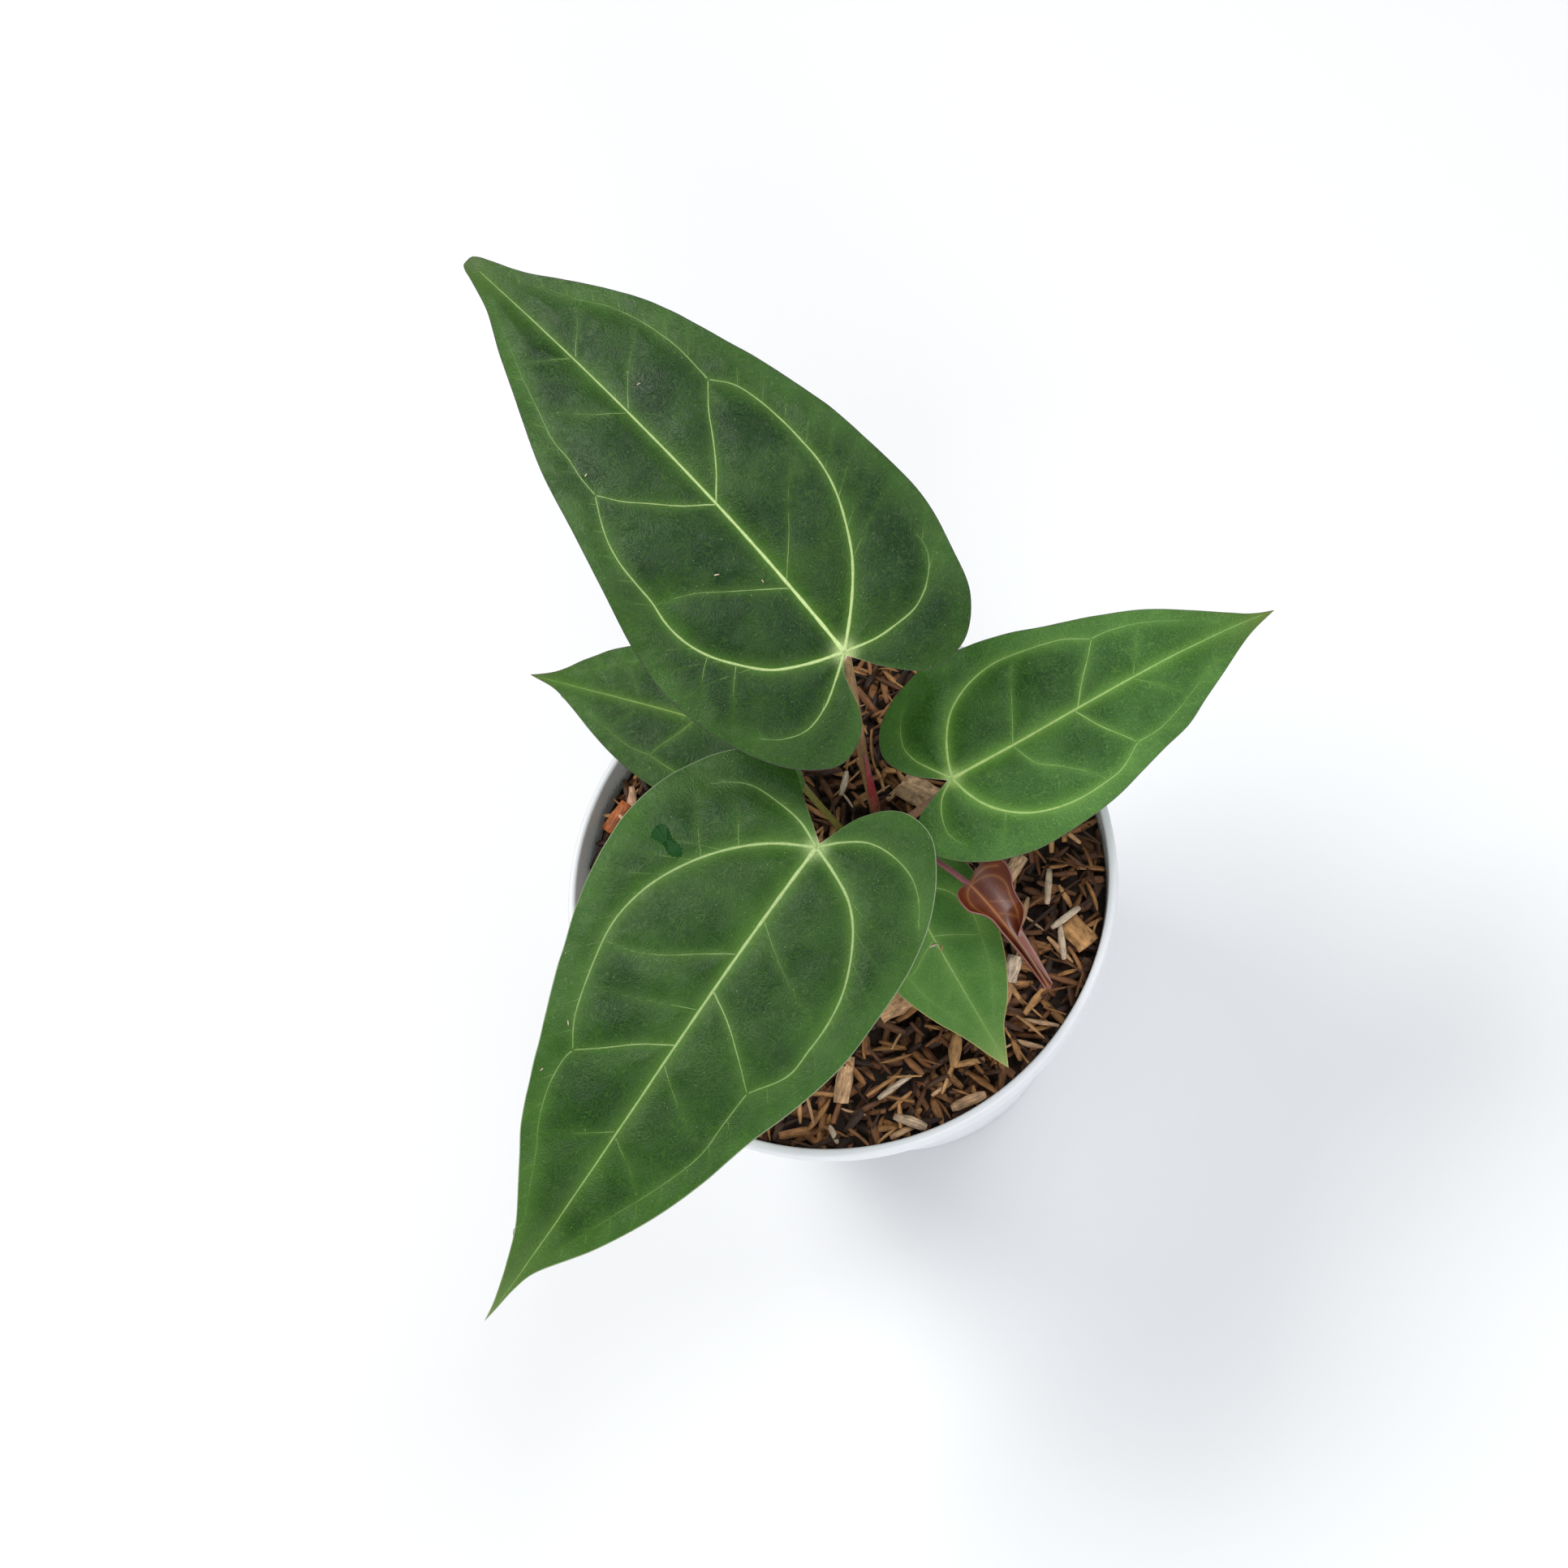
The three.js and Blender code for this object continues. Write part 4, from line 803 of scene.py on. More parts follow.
def vein_ridges(leaf, quilt, proud):
    """Each vein as a low closed ridge: an arched section carried along its path on the blade, wider at
    its start, let into the surface at its edges, and pointed at both ends."""
    parts, paleness = [], []
    arc = np.linspace(-1, 1, 7)
    for kind, path in leaf["paths"]:
        look = VEIN_KINDS[kind]
        line = smooth_path(path, 0.55)
        count = len(line)
        way = np.gradient(line, axis=0)
        way /= np.linalg.norm(way, axis=1, keepdims=True)
        share = np.linspace(0, 1, count)
        width = (look["width"][0] + (look["width"][1] - look["width"][0]) * share ** 0.8) * leaf["scale"]
        width *= 1 + 0.1 * np.sin(0.5 * np.arange(count) + len(parts))
        width *= 1 + 0.5 * np.exp(-(np.hypot(line[:, 0], line[:, 1]) / 2.5) ** 2)
        width[[0, -1]] = 0
        across = 0.5 * width[:, None] * arc
        u = line[:, :1] - way[:, 1:] * across
        v = line[:, 1:] + way[:, :1] * across
        surface, normal, _ = blade_surface(leaf, u, v, quilt)
        rise = width[:, None] * (proud * (1 - arc ** 2)) - 0.03
        upper = surface + normal * rise[..., None]
        lower = surface[:, 5:0:-2] - normal[:, 5:0:-2] * 0.2
        section = np.concatenate([upper, lower], axis=1)
        parts.append((section.reshape(-1, 3), net(count, section.shape[1], ring=True)[:, ::-1]))
        pale = look["pale"][0] + (look["pale"][1] - look["pale"][0]) * share
        middle = np.concatenate([1 - 0.5 * arc ** 2, 1 - 0.5 * arc[5:0:-2] ** 2])
        paleness.append((pale[:, None] * middle).ravel())
    points, triangles = joined(parts)
    return points, triangles, np.concatenate(paleness)


LOOKS = {
    # dark and light green of the skin, the green beside a vein, the vein's pale and faded colours, the
    # underside, the margin's line and the tip, the roughness, and how far the brighter green spreads
    "leaf_1": dict(
        dark=(0.002, 0.022, 0.001, 1), light=(0.038, 0.104, 0.013, 1), halo=(0.075, 0.18, 0.012, 1),
        vein=(0.54, 0.67, 0.28, 1), faded=(0.045, 0.13, 0.012, 1), under=(0.10, 0.19, 0.075, 1),
        rim=(0.05, 0.04, 0.045, 1), tip=(0.07, 0.11, 0.03, 1), roughness=0.30, glow=0.7),
    "leaf_2": dict(
        dark=(0.005, 0.036, 0.001, 1), light=(0.042, 0.116, 0.014, 1), halo=(0.085, 0.19, 0.020, 1),
        vein=(0.38, 0.50, 0.20, 1), faded=(0.065, 0.15, 0.02, 1), under=(0.10, 0.19, 0.075, 1),
        rim=(0.30, 0.36, 0.22, 1), tip=(0.20, 0.26, 0.10, 1), roughness=0.34, glow=1.1),
    "leaf_3": dict(
        dark=(0.012, 0.060, 0.005, 1), light=(0.068, 0.178, 0.032, 1), halo=(0.16, 0.34, 0.045, 1),
        vein=(0.42, 0.58, 0.18, 1), faded=(0.11, 0.24, 0.06, 1), under=(0.12, 0.24, 0.09, 1),
        rim=(0.10, 0.13, 0.06, 1), tip=(0.14, 0.12, 0.03, 1), roughness=0.33, glow=1.0),
    "leaf_4": dict(
        dark=(0.007, 0.042, 0.002, 1), light=(0.037, 0.118, 0.009, 1), halo=(0.11, 0.26, 0.018, 1),
        vein=(0.28, 0.45, 0.07, 1), faded=(0.06, 0.17, 0.02, 1), under=(0.12, 0.24, 0.09, 1),
        rim=(0.08, 0.09, 0.04, 1), tip=(0.08, 0.10, 0.02, 1), roughness=0.38, glow=0.9),
    "leaf_5": dict(
        dark=(0.046, 0.150, 0.022, 1), light=(0.112, 0.250, 0.048, 1), halo=(0.17, 0.33, 0.065, 1),
        vein=(0.34, 0.50, 0.16, 1), faded=(0.14, 0.29, 0.07, 1), under=(0.15, 0.28, 0.11, 1),
        rim=(0.50, 0.40, 0.16, 1), tip=(0.45, 0.46, 0.16, 1), roughness=0.42, glow=0.8),
}


def leaf_skin(name, look):
    """Velvety skin: two greens in clouds, lighter towards the margin as painted sheen, a faint net of
    veinlets, a brighter green beside the veins and a cream star where they meet, a papillate grain whose
    lighter specks are painted glints, pale specks, a line along the margin and a tinted tip."""
    material, tree, shader = finish_named(name, sheen_weight=0.02, sheen_roughness=0.4,
                                          sheen_tint=(0.72, 0.95, 0.84, 1), specular_ior_level=0.22)
    where = add(tree, "UVMap").outputs[0]
    rim = carried(tree, "rim")
    # Towards the margin the skin is painted lighter: a painted sheen for the light the drooping margin
    # catches.
    outer = graded(tree, rim, [(0.0, grey(0.3)), (0.25, grey(0.24)), (0.75, grey(0.0))])
    cloud = computed(tree, "MULTIPLY", noise(tree, where, 6, 4, 0.55), 0.95)
    cloud = computed(tree, "ADD", cloud, outer)
    cloud = computed(tree, "ADD", cloud, computed(tree, "MULTIPLY", carried(tree, "spread"), 0.26))
    skin = graded(tree, cloud, [(0.4, look["dark"]), (1.0, look["light"])])
    shift = add(tree, "TexNoise", {"Vector": where, "Scale": 9.0, "Detail": 2.0}).outputs[1]
    warped = add(tree, "VectorMath", {0: where, 1: shift}, operation="ADD").outputs[0]
    cells = add(tree, "TexVoronoi", {"Vector": warped, "Scale": 24.0}, feature="DISTANCE_TO_EDGE")
    veinlet = graded(tree, cells.outputs[0], [(0.0, grey(0.32)), (0.03, grey(0.12)), (0.1, grey(0))])
    skin = blended(tree, veinlet, skin, look["halo"])
    skin = blended(tree, computed(tree, "MULTIPLY", carried(tree, "halo"), 0.95), skin, look["halo"])
    skin = blended(tree, computed(tree, "MULTIPLY", carried(tree, "heart"), 0.75), skin, look["vein"])
    # The papillae's grain is painted into the colour as lighter and darker specks; the lighter specks are
    # painted glints.
    grain = noise(tree, where, 420, 2, 0.6)
    papilla_glints = graded(tree, grain, [(0.3, grey(0.6)), (0.7, grey(1.4))])
    skin = blended(tree, 1.0, skin, papilla_glints, "MULTIPLY")
    for scale, size, strength in ((85, 0.075, 0.5), (16, 0.022, 0.7)):
        near = add(tree, "TexVoronoi", {"Vector": where, "Scale": scale})
        draw = add(tree, "SeparateColor", {0: near.outputs[1]}).outputs[0]
        speck = computed(tree, "LESS_THAN", near.outputs[0], size)
        speck = computed(tree, "MULTIPLY", speck, computed(tree, "GREATER_THAN", draw, 0.6))
        skin = blended(tree, computed(tree, "MULTIPLY", speck, strength), skin, (0.50, 0.60, 0.32, 1))
    notch = computed(tree, "MULTIPLY", carried(tree, "notch"), 1.6, clamp=True)
    edge_tint = blended(tree, notch, look["rim"], (0.62, 0.40, 0.38, 1))
    line = graded(tree, rim, [(0.0, grey(0.9)), (0.012, grey(0.7)), (0.024, grey(0))])
    skin = blended(tree, line, skin, edge_tint)
    skin = blended(tree, computed(tree, "MULTIPLY", carried(tree, "tip"), 0.7), skin, look["tip"])
    tree.links.new(skin, shader.inputs["Base Color"])
    rough = look["roughness"]
    polish = graded(tree, noise(tree, where, 14, 3), [(0.3, grey(rough - 0.08)), (0.7, grey(rough + 0.1))])
    tree.links.new(polish, shader.inputs["Roughness"])
    bumps = computed(tree, "ADD", grain, computed(tree, "MULTIPLY", cells.outputs[0], 1.6))
    bumps = computed(tree, "ADD", bumps, computed(tree, "MULTIPLY", noise(tree, where, 16, 2), 1.6))
    relief(tree, shader, bumps, 0.00012, 0.8)
    return material


def shaded(colour, factor):
    """The colour's three channels times a factor, at most 1, and opaque."""
    return (*(min(1, factor * part) for part in colour[:3]), 1)


def leaf_underside(name, look):
    """The underside: a paler, duller green in clouds, paler still beside the ribs."""
    material, tree, shader = finish_named(name, roughness=0.6, sheen_weight=0.1)
    where = add(tree, "UVMap").outputs[0]
    skin = graded(tree, noise(tree, where, 7, 4), [(0.3, shaded(look["under"], 0.8)), (0.7, look["under"])])
    skin = blended(tree, carried(tree, "halo"), skin, shaded(look["under"], 1.9))
    tree.links.new(skin, shader.inputs["Base Color"])
    relief(tree, shader, noise(tree, where, 200, 2), 0.0001, 0.5)
    return material


def vein_skin(name, look):
    """Veins: cream where they are strong, and as green as the skin where they fade."""
    material, tree, shader = finish_named(name, roughness=0.5, specular_ior_level=0.35)
    tint = blended(tree, carried(tree, "pale"), look["faded"], look["vein"])
    mottle = noise(tree, object_place(tree), 1500, 2)
    mottle = graded(tree, mottle, [(0.3, grey(0.85)), (0.7, grey(1.1))])
    tree.links.new(blended(tree, 1.0, tint, mottle, "MULTIPLY"), shader.inputs["Base Color"])
    return material


BLADES = {
    # slot, columns, rows a side, scale of the veins' width, quilting between the veins
    "leaf_1": ("velvet_leaf", 250, 60, 1.0, dict(depth=1.35, ripple=0.07, rib=0.75)),
    "leaf_2": ("velvet_leaf", 250, 60, 1.0, dict(depth=1.3, ripple=0.09, rib=0.75)),
    "leaf_3": ("green_leaf", 210, 52, 0.85, dict(depth=1.0, ripple=0.10, rib=0.6)),
    "leaf_4": ("green_leaf", 170, 44, 0.75, dict(depth=0.6, ripple=0.08, rib=0.5)),
    "leaf_5": ("young_leaf", 150, 40, 0.65, dict(depth=0.45, ripple=0.08, rib=0.4)),
}
for name, (slot, columns, rows, scale, quilt) in BLADES.items():
    leaf, look = LEAVES[name], LOOKS[name]
    leaf.update(sinus=SINUS, scale=scale, quilt=quilt, glow=look["glow"])
    leaf["paths"] = veins_of(leaf)
    points, triangles, uv, values, material = blade_shell(leaf, columns, rows, quilt)
    skins = [leaf_skin(name + "_upper", look), leaf_underside(name + "_underside", look)]
    blade = piece(name + "_skin", points, triangles, skins, uv, values, material)
    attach(blade, "root")
    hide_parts(name + "_blade")
    points, triangles, pale = vein_ridges(leaf, quilt, 0.17)
    skins = [vein_skin(name + "_vein", look)]
    veins = piece(name + "_veins", points, triangles, skins, values={"pale": pale})
    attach(veins, "root")

# Marks on the leaves
# A wet spot near the second leaf's lower margin, where the velvet has rubbed off, and a few crumbs of
# husk and dust that fell on the blades. The spot is a thin film, and the crumbs lie loose.
SPOT = [(17.2, -36), (16.4, -34.4), (17.1, -32.3), (17.9, -30.8), (19.1, -26.8), (20.5, -26),
        (21.3, -26.8), (21.6, -28.7), (20.7, -31.2), (20.5, -33.6), (20.5, -35.4), (17.2, -36)]

border = smooth_path(SPOT, 0.18)
centre = border[:-1].mean(axis=0)
step = np.arange(len(border))
border = border + 0.2 * np.stack([np.sin(7.3 * step), np.cos(4.1 * step)], 1)
spread = np.concatenate([np.linspace(0, 1, 9), np.linspace(1, 0, 9)])[:, None]
u = centre[0] + (border[:-1, 0] - centre[0]) * spread
v = centre[1] + (border[:-1, 1] - centre[1]) * spread
leaf = LEAVES["leaf_2"]
surface, normal, _ = blade_surface(leaf, u, v, leaf["quilt"])
# The film stands 0.09 mm proud at its middle, and its lower side lies 0.1 mm under the skin.
film = np.concatenate([0.09 * np.sqrt(np.linspace(1, 0.2, 9)), np.full(9, -0.1)])
surface = surface + normal * film[:, None, None]
wet_spot, tree, shader = finish_named("wet_spot", base_color=(0.001, 0.045, 0.001, 1), roughness=0.5,
                                      specular_ior_level=0.2)
relief(tree, shader, noise(tree, object_place(tree), 900, 3), 0.0001, 0.5)
spot = piece("wet_spot", surface.reshape(-1, 3), net(*surface.shape[:2], ring=True), [wet_spot])
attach(spot, "root")

crumbs = [
    # leaf, along, across, azimuth, length, width, tone
    ("leaf_5", 15.8, -0.8, 20, 2.6, 0.6, 0.95), ("leaf_5", 17.4, 0.6, 75, 2.0, 0.5, 0.75),
    ("leaf_1", 33.6, 11.7, 10, 1.3, 0.35, 0.94), ("leaf_1", 25.4, 4.3, 120, 1.1, 0.35, 0.94),
    ("leaf_1", 74.9, 18.3, 60, 1.0, 0.35, 0.94), ("leaf_1", 83.4, -6.6, 30, 1.0, 0.35, 0.94),
    ("leaf_2", 69.4, -25.1, 100, 1.4, 0.3, 0.94), ("leaf_2", 82.7, -24, 40, 0.9, 0.4, 0.94)]
crumb_points = []
for name, along, across, azimuth, length, width, _ in crumbs:
    leaf = LEAVES[name]
    surface, _, _ = blade_surface(leaf, np.array([along]), np.array([across]), leaf["quilt"])
    size = [np.full((1, 1, 1), number) for number in (length, width, 0.7 * width)]
    local = splinters(*size, 0.4, 0.03, 0.1)
    centre = surface + [0, 0, 0.3 * width]
    crumb_points.append(pitched(local, np.radians([azimuth]), np.zeros(1), np.zeros(1), centre)[0])
crumb_points = np.stack(crumb_points)
litter = piece("fallen_crumbs", crumb_points.reshape(-1, 3), chip_net(len(crumbs)), [husk],
               uv=crumb_points.reshape(-1, 3)[:, :2],
               values={"tone": np.repeat([crumb[6] for crumb in crumbs], CHIP_POINTS)})
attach(litter, "root")

# Stalks
# Each blade is carried by a slender stalk that rises from the crown, swells at its foot and thickens
# again just under the blade, where it bends over and runs into the midrib.
PETIOLE_FOOT = 108
STALKS = {
    # the foot's azimuth round the crown, radius, inner points of the curve, colours of the foot and the top
    # The first stalk's light pink top colour is partly a painted highlight for the pale edge near its top.
    "leaf_1": (80, 1.4, [(10.7, 23.6, 150), (15, 29.5, 178)],
               (0.30, 0.16, 0.07, 1), (0.48, 0.29, 0.15, 1)),
    "leaf_2": (-93, 1.4, [(8.4, 5, 150), (8, -12.5, 168)],
               (0.20, 0.12, 0.05, 1), (0.38, 0.22, 0.12, 1)),
    "leaf_3": (-3, 1.2, [(17, 12.8, 135), (35, 12, 147)],
               (0.22, 0.14, 0.05, 1), (0.55, 0.28, 0.22, 1)),
    "leaf_4": (175, 1.0, [(1.5, 13.5, 130), (-5, 15.5, 148)],
               (0.20, 0.18, 0.04, 1), (0.34, 0.34, 0.07, 1)),
    "leaf_5": (-64, 0.9, [(13, 5, 124), (21.5, -7, 128)],
               (0.13, 0.10, 0.03, 1), (0.22, 0.24, 0.06, 1)),
}


def stalk_curve(azimuth, radius, bends, end):
    """Control points from the foot beside the crown to the end under the blade."""
    angle = np.radians(azimuth)
    distance = CROWN_RADIUS + 0.35 + radius
    foot = (*(CROWN_CENTRE + distance * np.array([np.cos(angle), np.sin(angle)])), PETIOLE_FOOT)
    return [foot, *bends, tuple(end)]


def stalk_tube(control, radius, rings=110, sides=24):
    """A tube along the curve. Its radius swells at the foot and under the blade, and a shallow groove
    runs up its upper side. Both ends are closed to a point."""
    t = np.linspace(0, 1, rings)
    centre, tangent = bezier(control, t)
    level = np.array(control[3], float) - np.array(control[0], float)
    level[2] = 0
    beside = np.cross([0, 0, 1], level / np.linalg.norm(level))
    side = beside - (tangent @ beside)[:, None] * tangent
    side /= np.linalg.norm(side, axis=1, keepdims=True)
    upper = np.cross(tangent, side)
    around = np.arange(sides) * 2 * np.pi / sides
    swell = 1 + 0.3 * np.exp(-(t / 0.07) ** 2) + 0.18 * np.exp(-((1 - t) / 0.06) ** 2)
    closing = np.sqrt(np.clip(np.minimum(t / 0.008, (1 - t) / 0.008), 0, 1))
    groove = 1 - 0.1 * np.exp(-((around - 0.5 * np.pi) / 0.45) ** 2)
    r = (radius * 0.94 * swell * closing)[:, None] * groove
    points = centre[:, None] + r[..., None] * (np.cos(around)[:, None] * side[:, None]
                                               + np.sin(around)[:, None] * upper[:, None])
    length = np.linalg.norm(np.diff(centre, axis=0), axis=1).sum()
    uv = np.stack(np.broadcast_arrays(t[:, None] * length * 0.1, around * 0.3), axis=-1)
    rise = np.repeat(t, sides)
    return points.reshape(-1, 3), net(rings, sides, ring=True), uv.reshape(-1, 2), rise


def stalk_skin(name, foot, top):
    """A satin stalk: its colour changes from foot to top, with fine lengthwise lines and freckles."""
    material, tree, shader = finish_named(name, roughness=0.45, specular_ior_level=0.45)
    tint = blended(tree, computed(tree, "POWER", carried(tree, "rise"), 1.4), foot, top)
    place = object_place(tree)
    stretched = add(tree, "Mapping", {"Vector": place, "Scale": (1, 1, 0.12)}).outputs[0]
    lines = graded(tree, noise(tree, stretched, 2600, 3), [(0.3, grey(0.7)), (0.7, grey(1.3))])
    tint = blended(tree, 1.0, tint, lines, "MULTIPLY")
    freckle = graded(tree, noise(tree, place, 2200, 2), [(0.62, grey(0)), (0.7, grey(0.5))])
    tint = blended(tree, freckle, tint, shaded(top, 1.8))
    tree.links.new(tint, shader.inputs["Base Color"])
    relief(tree, shader, lines, 0.00006, 0.6)
    return material


stalk_paths = {}
zero = np.zeros(1)
for name, (azimuth, radius, bends, foot, top) in STALKS.items():
    leaf = LEAVES[name]
    point, _, _ = blade_surface(leaf, zero, zero, leaf["quilt"])
    _, _, up = midrib_frame(leaf, zero)
    end = point[0] - up[0] * (BLADE_THICKNESS + 0.5 * radius)
    stalk_paths[name] = stalk_curve(azimuth, radius, bends, end)
    points, triangles, uv, rise = stalk_tube(stalk_paths[name], radius)
    stalk = piece(name + "_stalk", points, triangles, [stalk_skin(name + "_stalk_skin", foot, top)],
                  uv=uv, values={"rise": rise})
    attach(stalk, "root")
    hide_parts(name + "_petiole")

# Cataphyll
# A pink papery sheath with a pointed tip that stands against the front of the tallest stalk. It once
# wrapped the young leaf.
SHEATH = dict(bottom=0.1, top=0.41, half_angle=56, facing=-60, thickness=0.35, gap=0.2)


def sheath_shell(control, inner, rings=60, sides=24):
    """An open trough along the stalk's curve that narrows to a point at its tip; its inner face lies
    inside the outer one by the thickness, and the edges are closed."""
    place = np.linspace(0, 1, rings)
    centre, tangent = bezier(control, SHEATH["bottom"] + (SHEATH["top"] - SHEATH["bottom"]) * place)
    facing = np.radians(SHEATH["facing"])
    front = np.array([np.cos(facing), np.sin(facing), 0])
    ahead = front - (tangent @ front)[:, None] * tangent
    ahead /= np.linalg.norm(ahead, axis=1, keepdims=True)
    beside = np.cross(tangent, ahead)
    spread = np.radians(3 + (SHEATH["half_angle"] - 3) * (1 - place) ** 1.1)
    turn = np.concatenate([np.linspace(-1, 1, sides), np.linspace(1, -1, sides)]) * spread[:, None]
    skin = np.concatenate([np.full(sides, inner + SHEATH["thickness"]), np.full(sides, inner)])[None, :]
    skin = skin + 0.06 * np.sin(6 * turn + 9 * place[:, None])
    points = centre[:, None] + skin[..., None] * (np.cos(turn)[..., None] * ahead[:, None]
                                                  + np.sin(turn)[..., None] * beside[:, None])
    points[0] = points[0].mean(axis=0)
    points[-1] = points[-1].mean(axis=0)
    rise = np.repeat(place, 2 * sides)
    return points.reshape(-1, 3), net(rings, 2 * sides, ring=True), rise


pink_sheath, tree, shader = finish_named("pink_sheath", roughness=0.24, specular_ior_level=0.7)
tint = graded(tree, carried(tree, "rise"), [
    (0.0, (0.22, 0.10, 0.05, 1)), (0.45, (0.42, 0.05, 0.06, 1)), (1.0, (0.62, 0.19, 0.24, 1))])
stretched = add(tree, "Mapping", {"Vector": object_place(tree), "Scale": (1, 1, 0.15)}).outputs[0]
lines = graded(tree, noise(tree, stretched, 2400, 3), [(0.3, grey(0.7)), (0.7, grey(1.35))])
tree.links.new(blended(tree, 1.0, tint, lines, "MULTIPLY"), shader.inputs["Base Color"])
points, triangles, rise = sheath_shell(stalk_paths["leaf_1"], STALKS["leaf_1"][1] + SHEATH["gap"])
sheath = piece("pink_cataphyll", points, triangles, [pink_sheath], values={"rise": rise})
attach(sheath, "root")
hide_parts("cataphyll")

# New leaf
# The newest leaf has just come out of its sheath: red-brown and glossy, open at its lobes, and still
# rolled into a tube towards its tip.
NEW_LEAF = dict(
    midrib=[(40.4, -12, 149), (47.8, -19, 144.6), (53.6, -27.2, 138), (58.7, -34.4, 130)],
    length=35, roll=(0, 0), sinus=-0.6,
    left=[(32.5, 2.2), (28, 3.8), (23, 5), (18, 6.4), (14, 6.8), (10.5, 6.9), (7.4, 7.8), (4.4, 10),
          (1.6, 10.9), (-0.8, 9.9), (-2, 7), (-1.8, 3.4)],
    right=[(32.5, 1.6), (27, 2.6), (20, 3.4), (14, 3.7), (9, 4), (6, 5.2), (3.5, 6.2), (1, 6.1),
           (-0.9, 4.6), (-1.4, 2.2)],
    veins=[
        ("side", [(0, 0), (0.6, 3.2), (2.4, 6.2), (5.4, 7), (9, 5.6), (13, 4.6), (16, 3.6)]),
        ("side", [(0, 0), (0.6, -1.8), (2.6, -3.4), (6, -3.6), (10, -2.8)]),
        ("side", [(0, 0), (-0.8, 3), (-0.6, 6), (1, 8.6)]),
        ("faint", [(6, 0), (8.5, 3), (10, 5)]),
        ("faint", [(10, 0), (12.5, 2.6), (15, 4.6)])])
NEW_CURL = dict(left=(13, 2.3), right=(6, 1.9), left_from=11, right_from=4, over=7, taper=0.6)
NEW_THICKNESS = 0.4
NEW_STALK = (-37, 0.8, [(14, 9.3, 140), (29, -2, 148)], (0.16, 0.05, 0.05, 1), (0.30, 0.10, 0.11, 1))


def rolled_surface(leaf, along, across):
    """Each half is an arc about a line above the midrib. The arc's radius shrinks from the open lobe to
    the tube, so the halves stand up and close over the midrib."""
    point, side, normal = midrib_frame(leaf, along)
    left = across > 0
    start = np.where(left, NEW_CURL["left_from"], NEW_CURL["right_from"])
    closing = np.clip((along - start) / NEW_CURL["over"], 0, 1)
    closing = closing ** 2 * (3 - 2 * closing)
    opened = np.where(left, NEW_CURL["left"][0], NEW_CURL["right"][0])
    closed = np.where(left, NEW_CURL["left"][1], NEW_CURL["right"][1])
    closed = closed * (1 - NEW_CURL["taper"] * np.clip((along - 14) / 20, 0, 1))
    radius = 1 / (1 / opened + (1 / closed - 1 / opened) * closing)
    angle = np.abs(across) / radius
    outward = (np.sign(across) * radius * np.sin(angle))[..., None]
    height = (radius * (1 - np.cos(angle)))[..., None]
    facing = normal * np.cos(angle)[..., None] - side * (np.sign(across) * np.sin(angle))[..., None]
    return point + outward * side + height * normal, facing


leaf = NEW_LEAF
leaf["paths"] = [("midrib", np.array([(0.0, 0.0), (34.0, 0.0)]))]
leaf["paths"] += [(kind, smooth_path(points, 1.0)) for kind, points in leaf["veins"]]
u, v, from_margin = blade_net(leaf, 150, 40)
top, facing = rolled_surface(leaf, u, v)
halo = np.zeros_like(u)
for kind, path in leaf["paths"]:
    halo = np.maximum(halo, VEIN_KINDS[kind]["pale"][0] * np.exp(-nearest(path, u, v)[0] / 0.26))
under = top - facing * NEW_THICKNESS
count, width = u.shape
size = count * width
index = np.arange(size).reshape(count, width)
left_rim = np.stack([index[:-1, -1], index[1:, -1], index[1:, -1] + size, index[:-1, -1] + size], 1)
right_rim = np.stack([index[1:, 0], index[:-1, 0], index[:-1, 0] + size, index[1:, 0] + size], 1)
rims = np.concatenate([left_rim[:, ::-1], right_rim[:, ::-1]])
inner_faces = net(count, width)
outer_faces = inner_faces[:, ::-1] + size
triangles = np.concatenate([inner_faces, rims[:, [0, 1, 2]], rims[:, [0, 2, 3]], outer_faces])
material = np.repeat([0, 1], [len(triangles) - len(outer_faces), len(outer_faces)])

new_skin, tree, shader = finish_named("new_leaf_skin", roughness=0.32, specular_ior_level=0.35,
                                      coat_weight=0.15, coat_roughness=0.14)
where = add(tree, "UVMap").outputs[0]
skin = graded(tree, noise(tree, where, 16, 4), [
    (0.3, (0.085, 0.014, 0.004, 1)), (0.7, (0.18, 0.038, 0.010, 1))])
glow = computed(tree, "MULTIPLY", carried(tree, "halo"), 0.75)
skin = blended(tree, glow, skin, (0.62, 0.27, 0.10, 1))
line = graded(tree, carried(tree, "rim"), [(0.0, grey(0.9)), (0.14, grey(0.6)), (0.3, grey(0))])
skin = blended(tree, line, skin, (0.34, 0.13, 0.13, 1))
tree.links.new(skin, shader.inputs["Base Color"])
relief(tree, shader, noise(tree, where, 120, 2), 0.00006, 0.4)

new_back, tree, shader = finish_named("new_leaf_back", roughness=0.22, specular_ior_level=0.75,
                                      coat_weight=0.5, coat_roughness=0.12)
skin = graded(tree, noise(tree, add(tree, "UVMap").outputs[0], 14, 4), [
    (0.3, (0.17, 0.040, 0.022, 1)), (0.7, (0.31, 0.105, 0.070, 1))])
skin = blended(tree, carried(tree, "halo"), skin, (0.62, 0.42, 0.36, 1))
tree.links.new(skin, shader.inputs["Base Color"])

points = np.concatenate([top.reshape(-1, 3), under.reshape(-1, 3)])
uv = np.tile(np.stack([u, v], axis=-1).reshape(-1, 2), (2, 1)) * 0.01
values = {"halo": np.tile(halo.ravel(), 2), "rim": np.tile(from_margin.clip(0, 4).ravel(), 2)}
new_blade = piece("new_leaf_skin", points, triangles, [new_skin, new_back], uv, values, material)
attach(new_blade, "root")
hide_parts("leaf_new_blade")

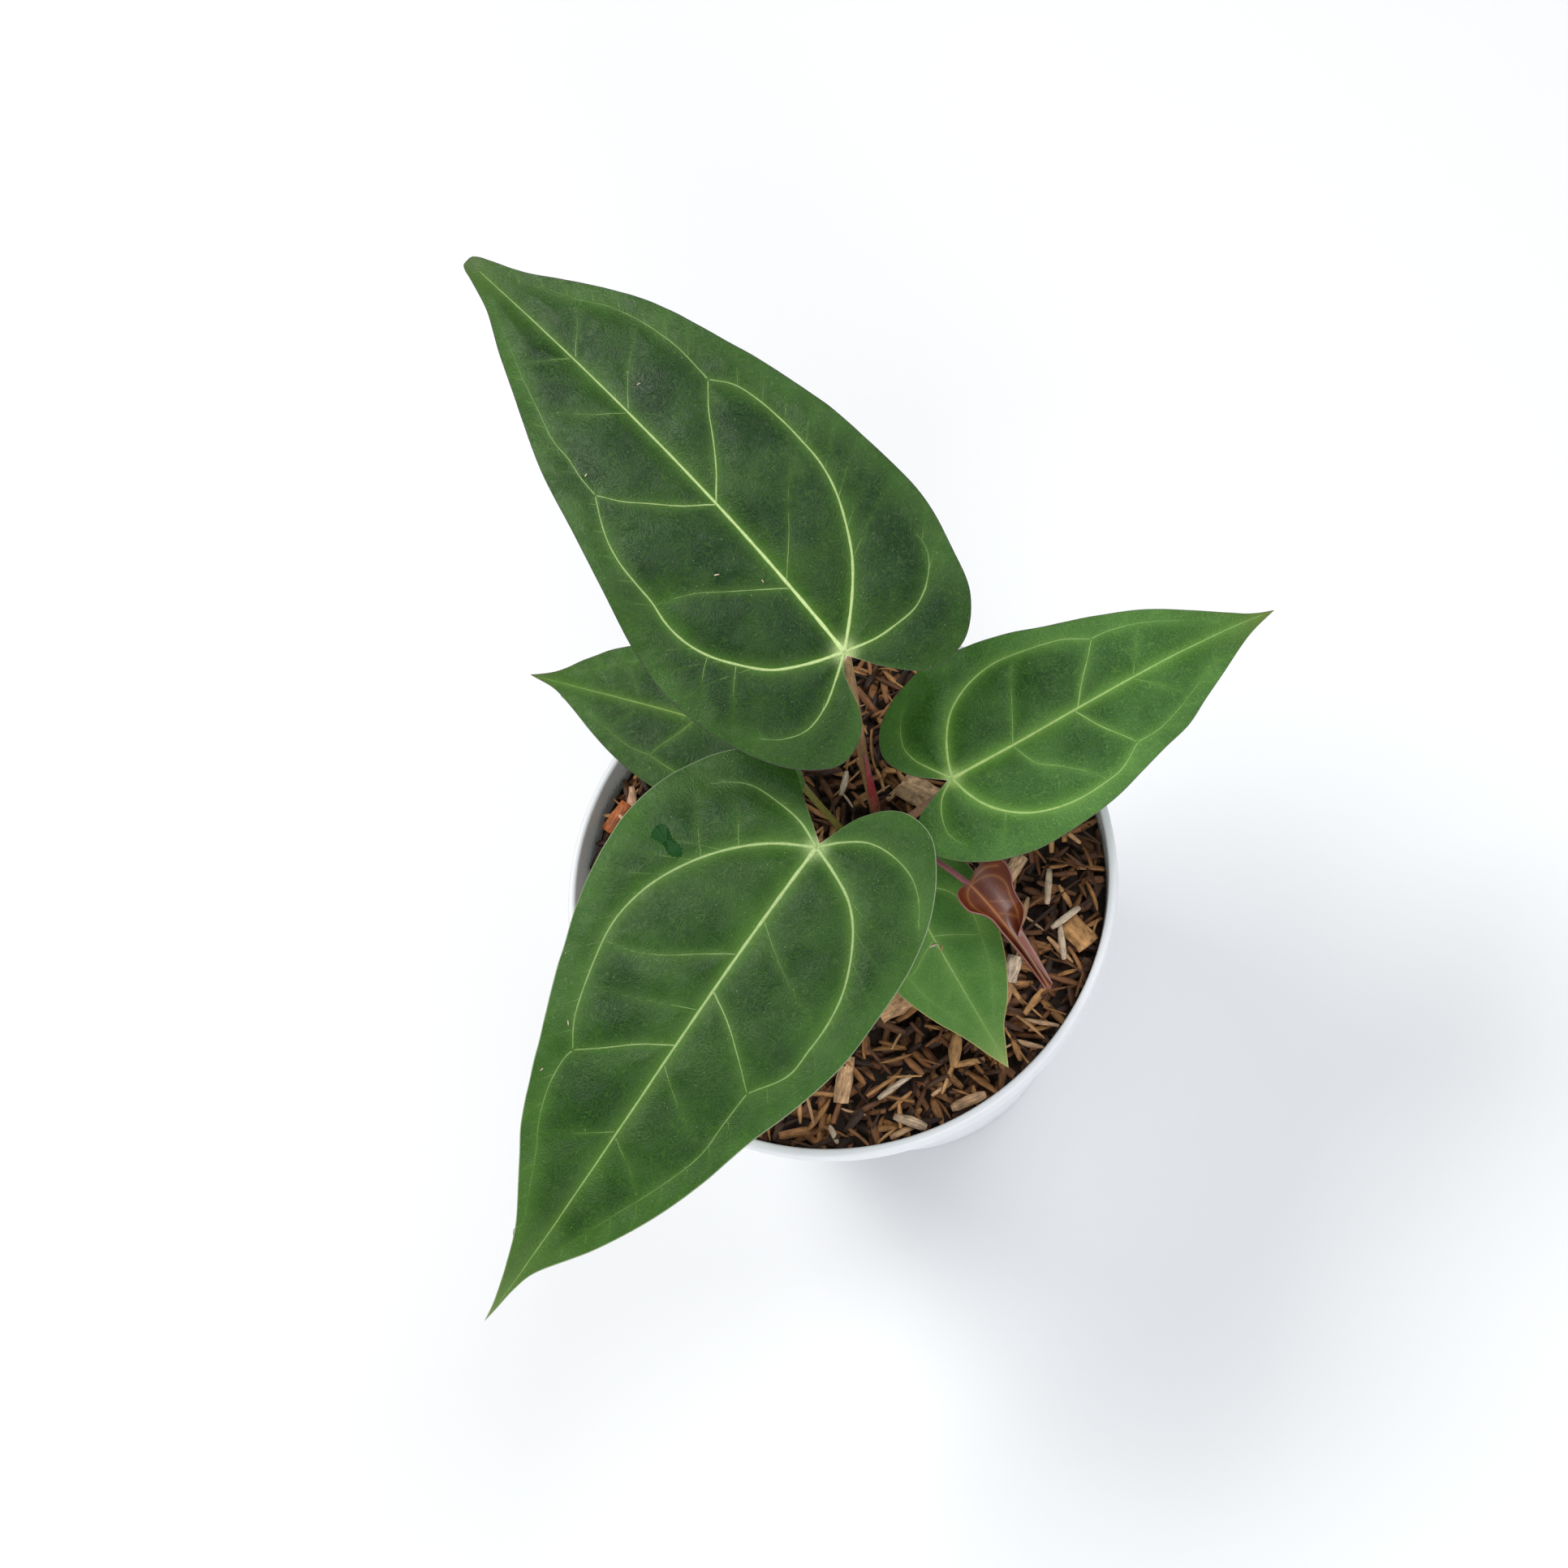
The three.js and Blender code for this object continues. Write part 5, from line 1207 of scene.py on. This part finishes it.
azimuth, radius, bends, foot, top_colour = NEW_STALK
end = np.array(NEW_LEAF["midrib"][0]) - [0, 0, 0.5]
points, triangles, uv, rise = stalk_tube(stalk_curve(azimuth, radius, bends, end), radius)
new_stalk_skin = stalk_skin("new_stalk_skin", foot, top_colour)
new_stalk = piece("new_leaf_stalk", points, triangles, [new_stalk_skin], uv=uv, values={"rise": rise})
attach(new_stalk, "root")
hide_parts("leaf_new_petiole")

# Floor, light and camera
# A plain pale floor under three large soft lights and a pale sky. The camera looks down from the front,
# at the angle of the photograph.
FLOOR_HALF = 4
LIT_PLACE = (0, 0, 0.15)

floor_mesh = bpy.data.meshes.new("floor")
floor_corners = [(x * FLOOR_HALF, y * FLOOR_HALF, 0) for x, y in ((-1, -1), (1, -1), (1, 1), (-1, 1))]
floor_mesh.from_pydata(floor_corners, [], [(0, 1, 2, 3)])
pale_floor, _, _ = finish_named("pale_floor", base_color=(0.82, 0.825, 0.835, 1), roughness=0.9)
floor_mesh.materials.append(pale_floor)
floor = bpy.data.objects.new("floor", floor_mesh)
bpy.context.scene.collection.objects.link(floor)


def soft_light(name, place, size, power, tint):
    """A square area light that faces the plant. Its Z axis points from the plant to the light, and its X
    axis is square to the floor's Y axis."""
    lamp = bpy.data.lights.new(name, "AREA")
    lamp.shape = "SQUARE"
    lamp.size = size
    lamp.energy = power
    lamp.color = tint
    made = bpy.data.objects.new(name, lamp)
    back = np.array(place, float) - LIT_PLACE
    z = back / np.linalg.norm(back)
    x = np.cross([0, 1, 0], z)
    x /= np.linalg.norm(x)
    turn = np.stack([x, np.cross(z, x), z], 1)
    made.matrix_world = Matrix([[*row, part] for row, part in zip(turn, place)] + [[0, 0, 0, 1]])
    bpy.context.scene.collection.objects.link(made)


soft_light("key", (-0.65, 0.35, 1.2), 0.5, 11, (1, 0.99, 0.96))
soft_light("top_fill", (0.55, 0.35, 1.3), 0.6, 6, (0.97, 0.98, 1))
soft_light("front_fill", (0.3, -0.95, 0.85), 0.45, 5.5, (0.98, 0.99, 1))
world = bpy.data.worlds.new("studio")
bpy.context.scene.world = world
world.use_nodes = True
sky = world.node_tree.nodes["Background"]
sky.inputs["Color"].default_value = (0.93, 0.96, 1, 1)
sky.inputs["Strength"].default_value = 0.42

camera_data = bpy.data.cameras.new("camera")
camera_data.lens = 52
camera_data.sensor_width = 36
camera = bpy.data.objects.new("camera", camera_data)
# The camera's own axes and its place, found from the two ellipses of the pot's rim.
right = (0.97922324, 0.0359864, -0.19956659)
up = (0.0359864, 0.93766972, 0.34565947)
back = (0.19956659, -0.34565947, 0.91689297)
position = (0.109589, -0.188133, 0.693913)
camera.matrix_world = Matrix([[right[i], up[i], back[i], position[i]] for i in range(3)] + [[0, 0, 0, 1]])
bpy.context.scene.collection.objects.link(camera)
bpy.context.scene.camera = camera
bpy.context.scene.view_settings.view_transform = "Standard"
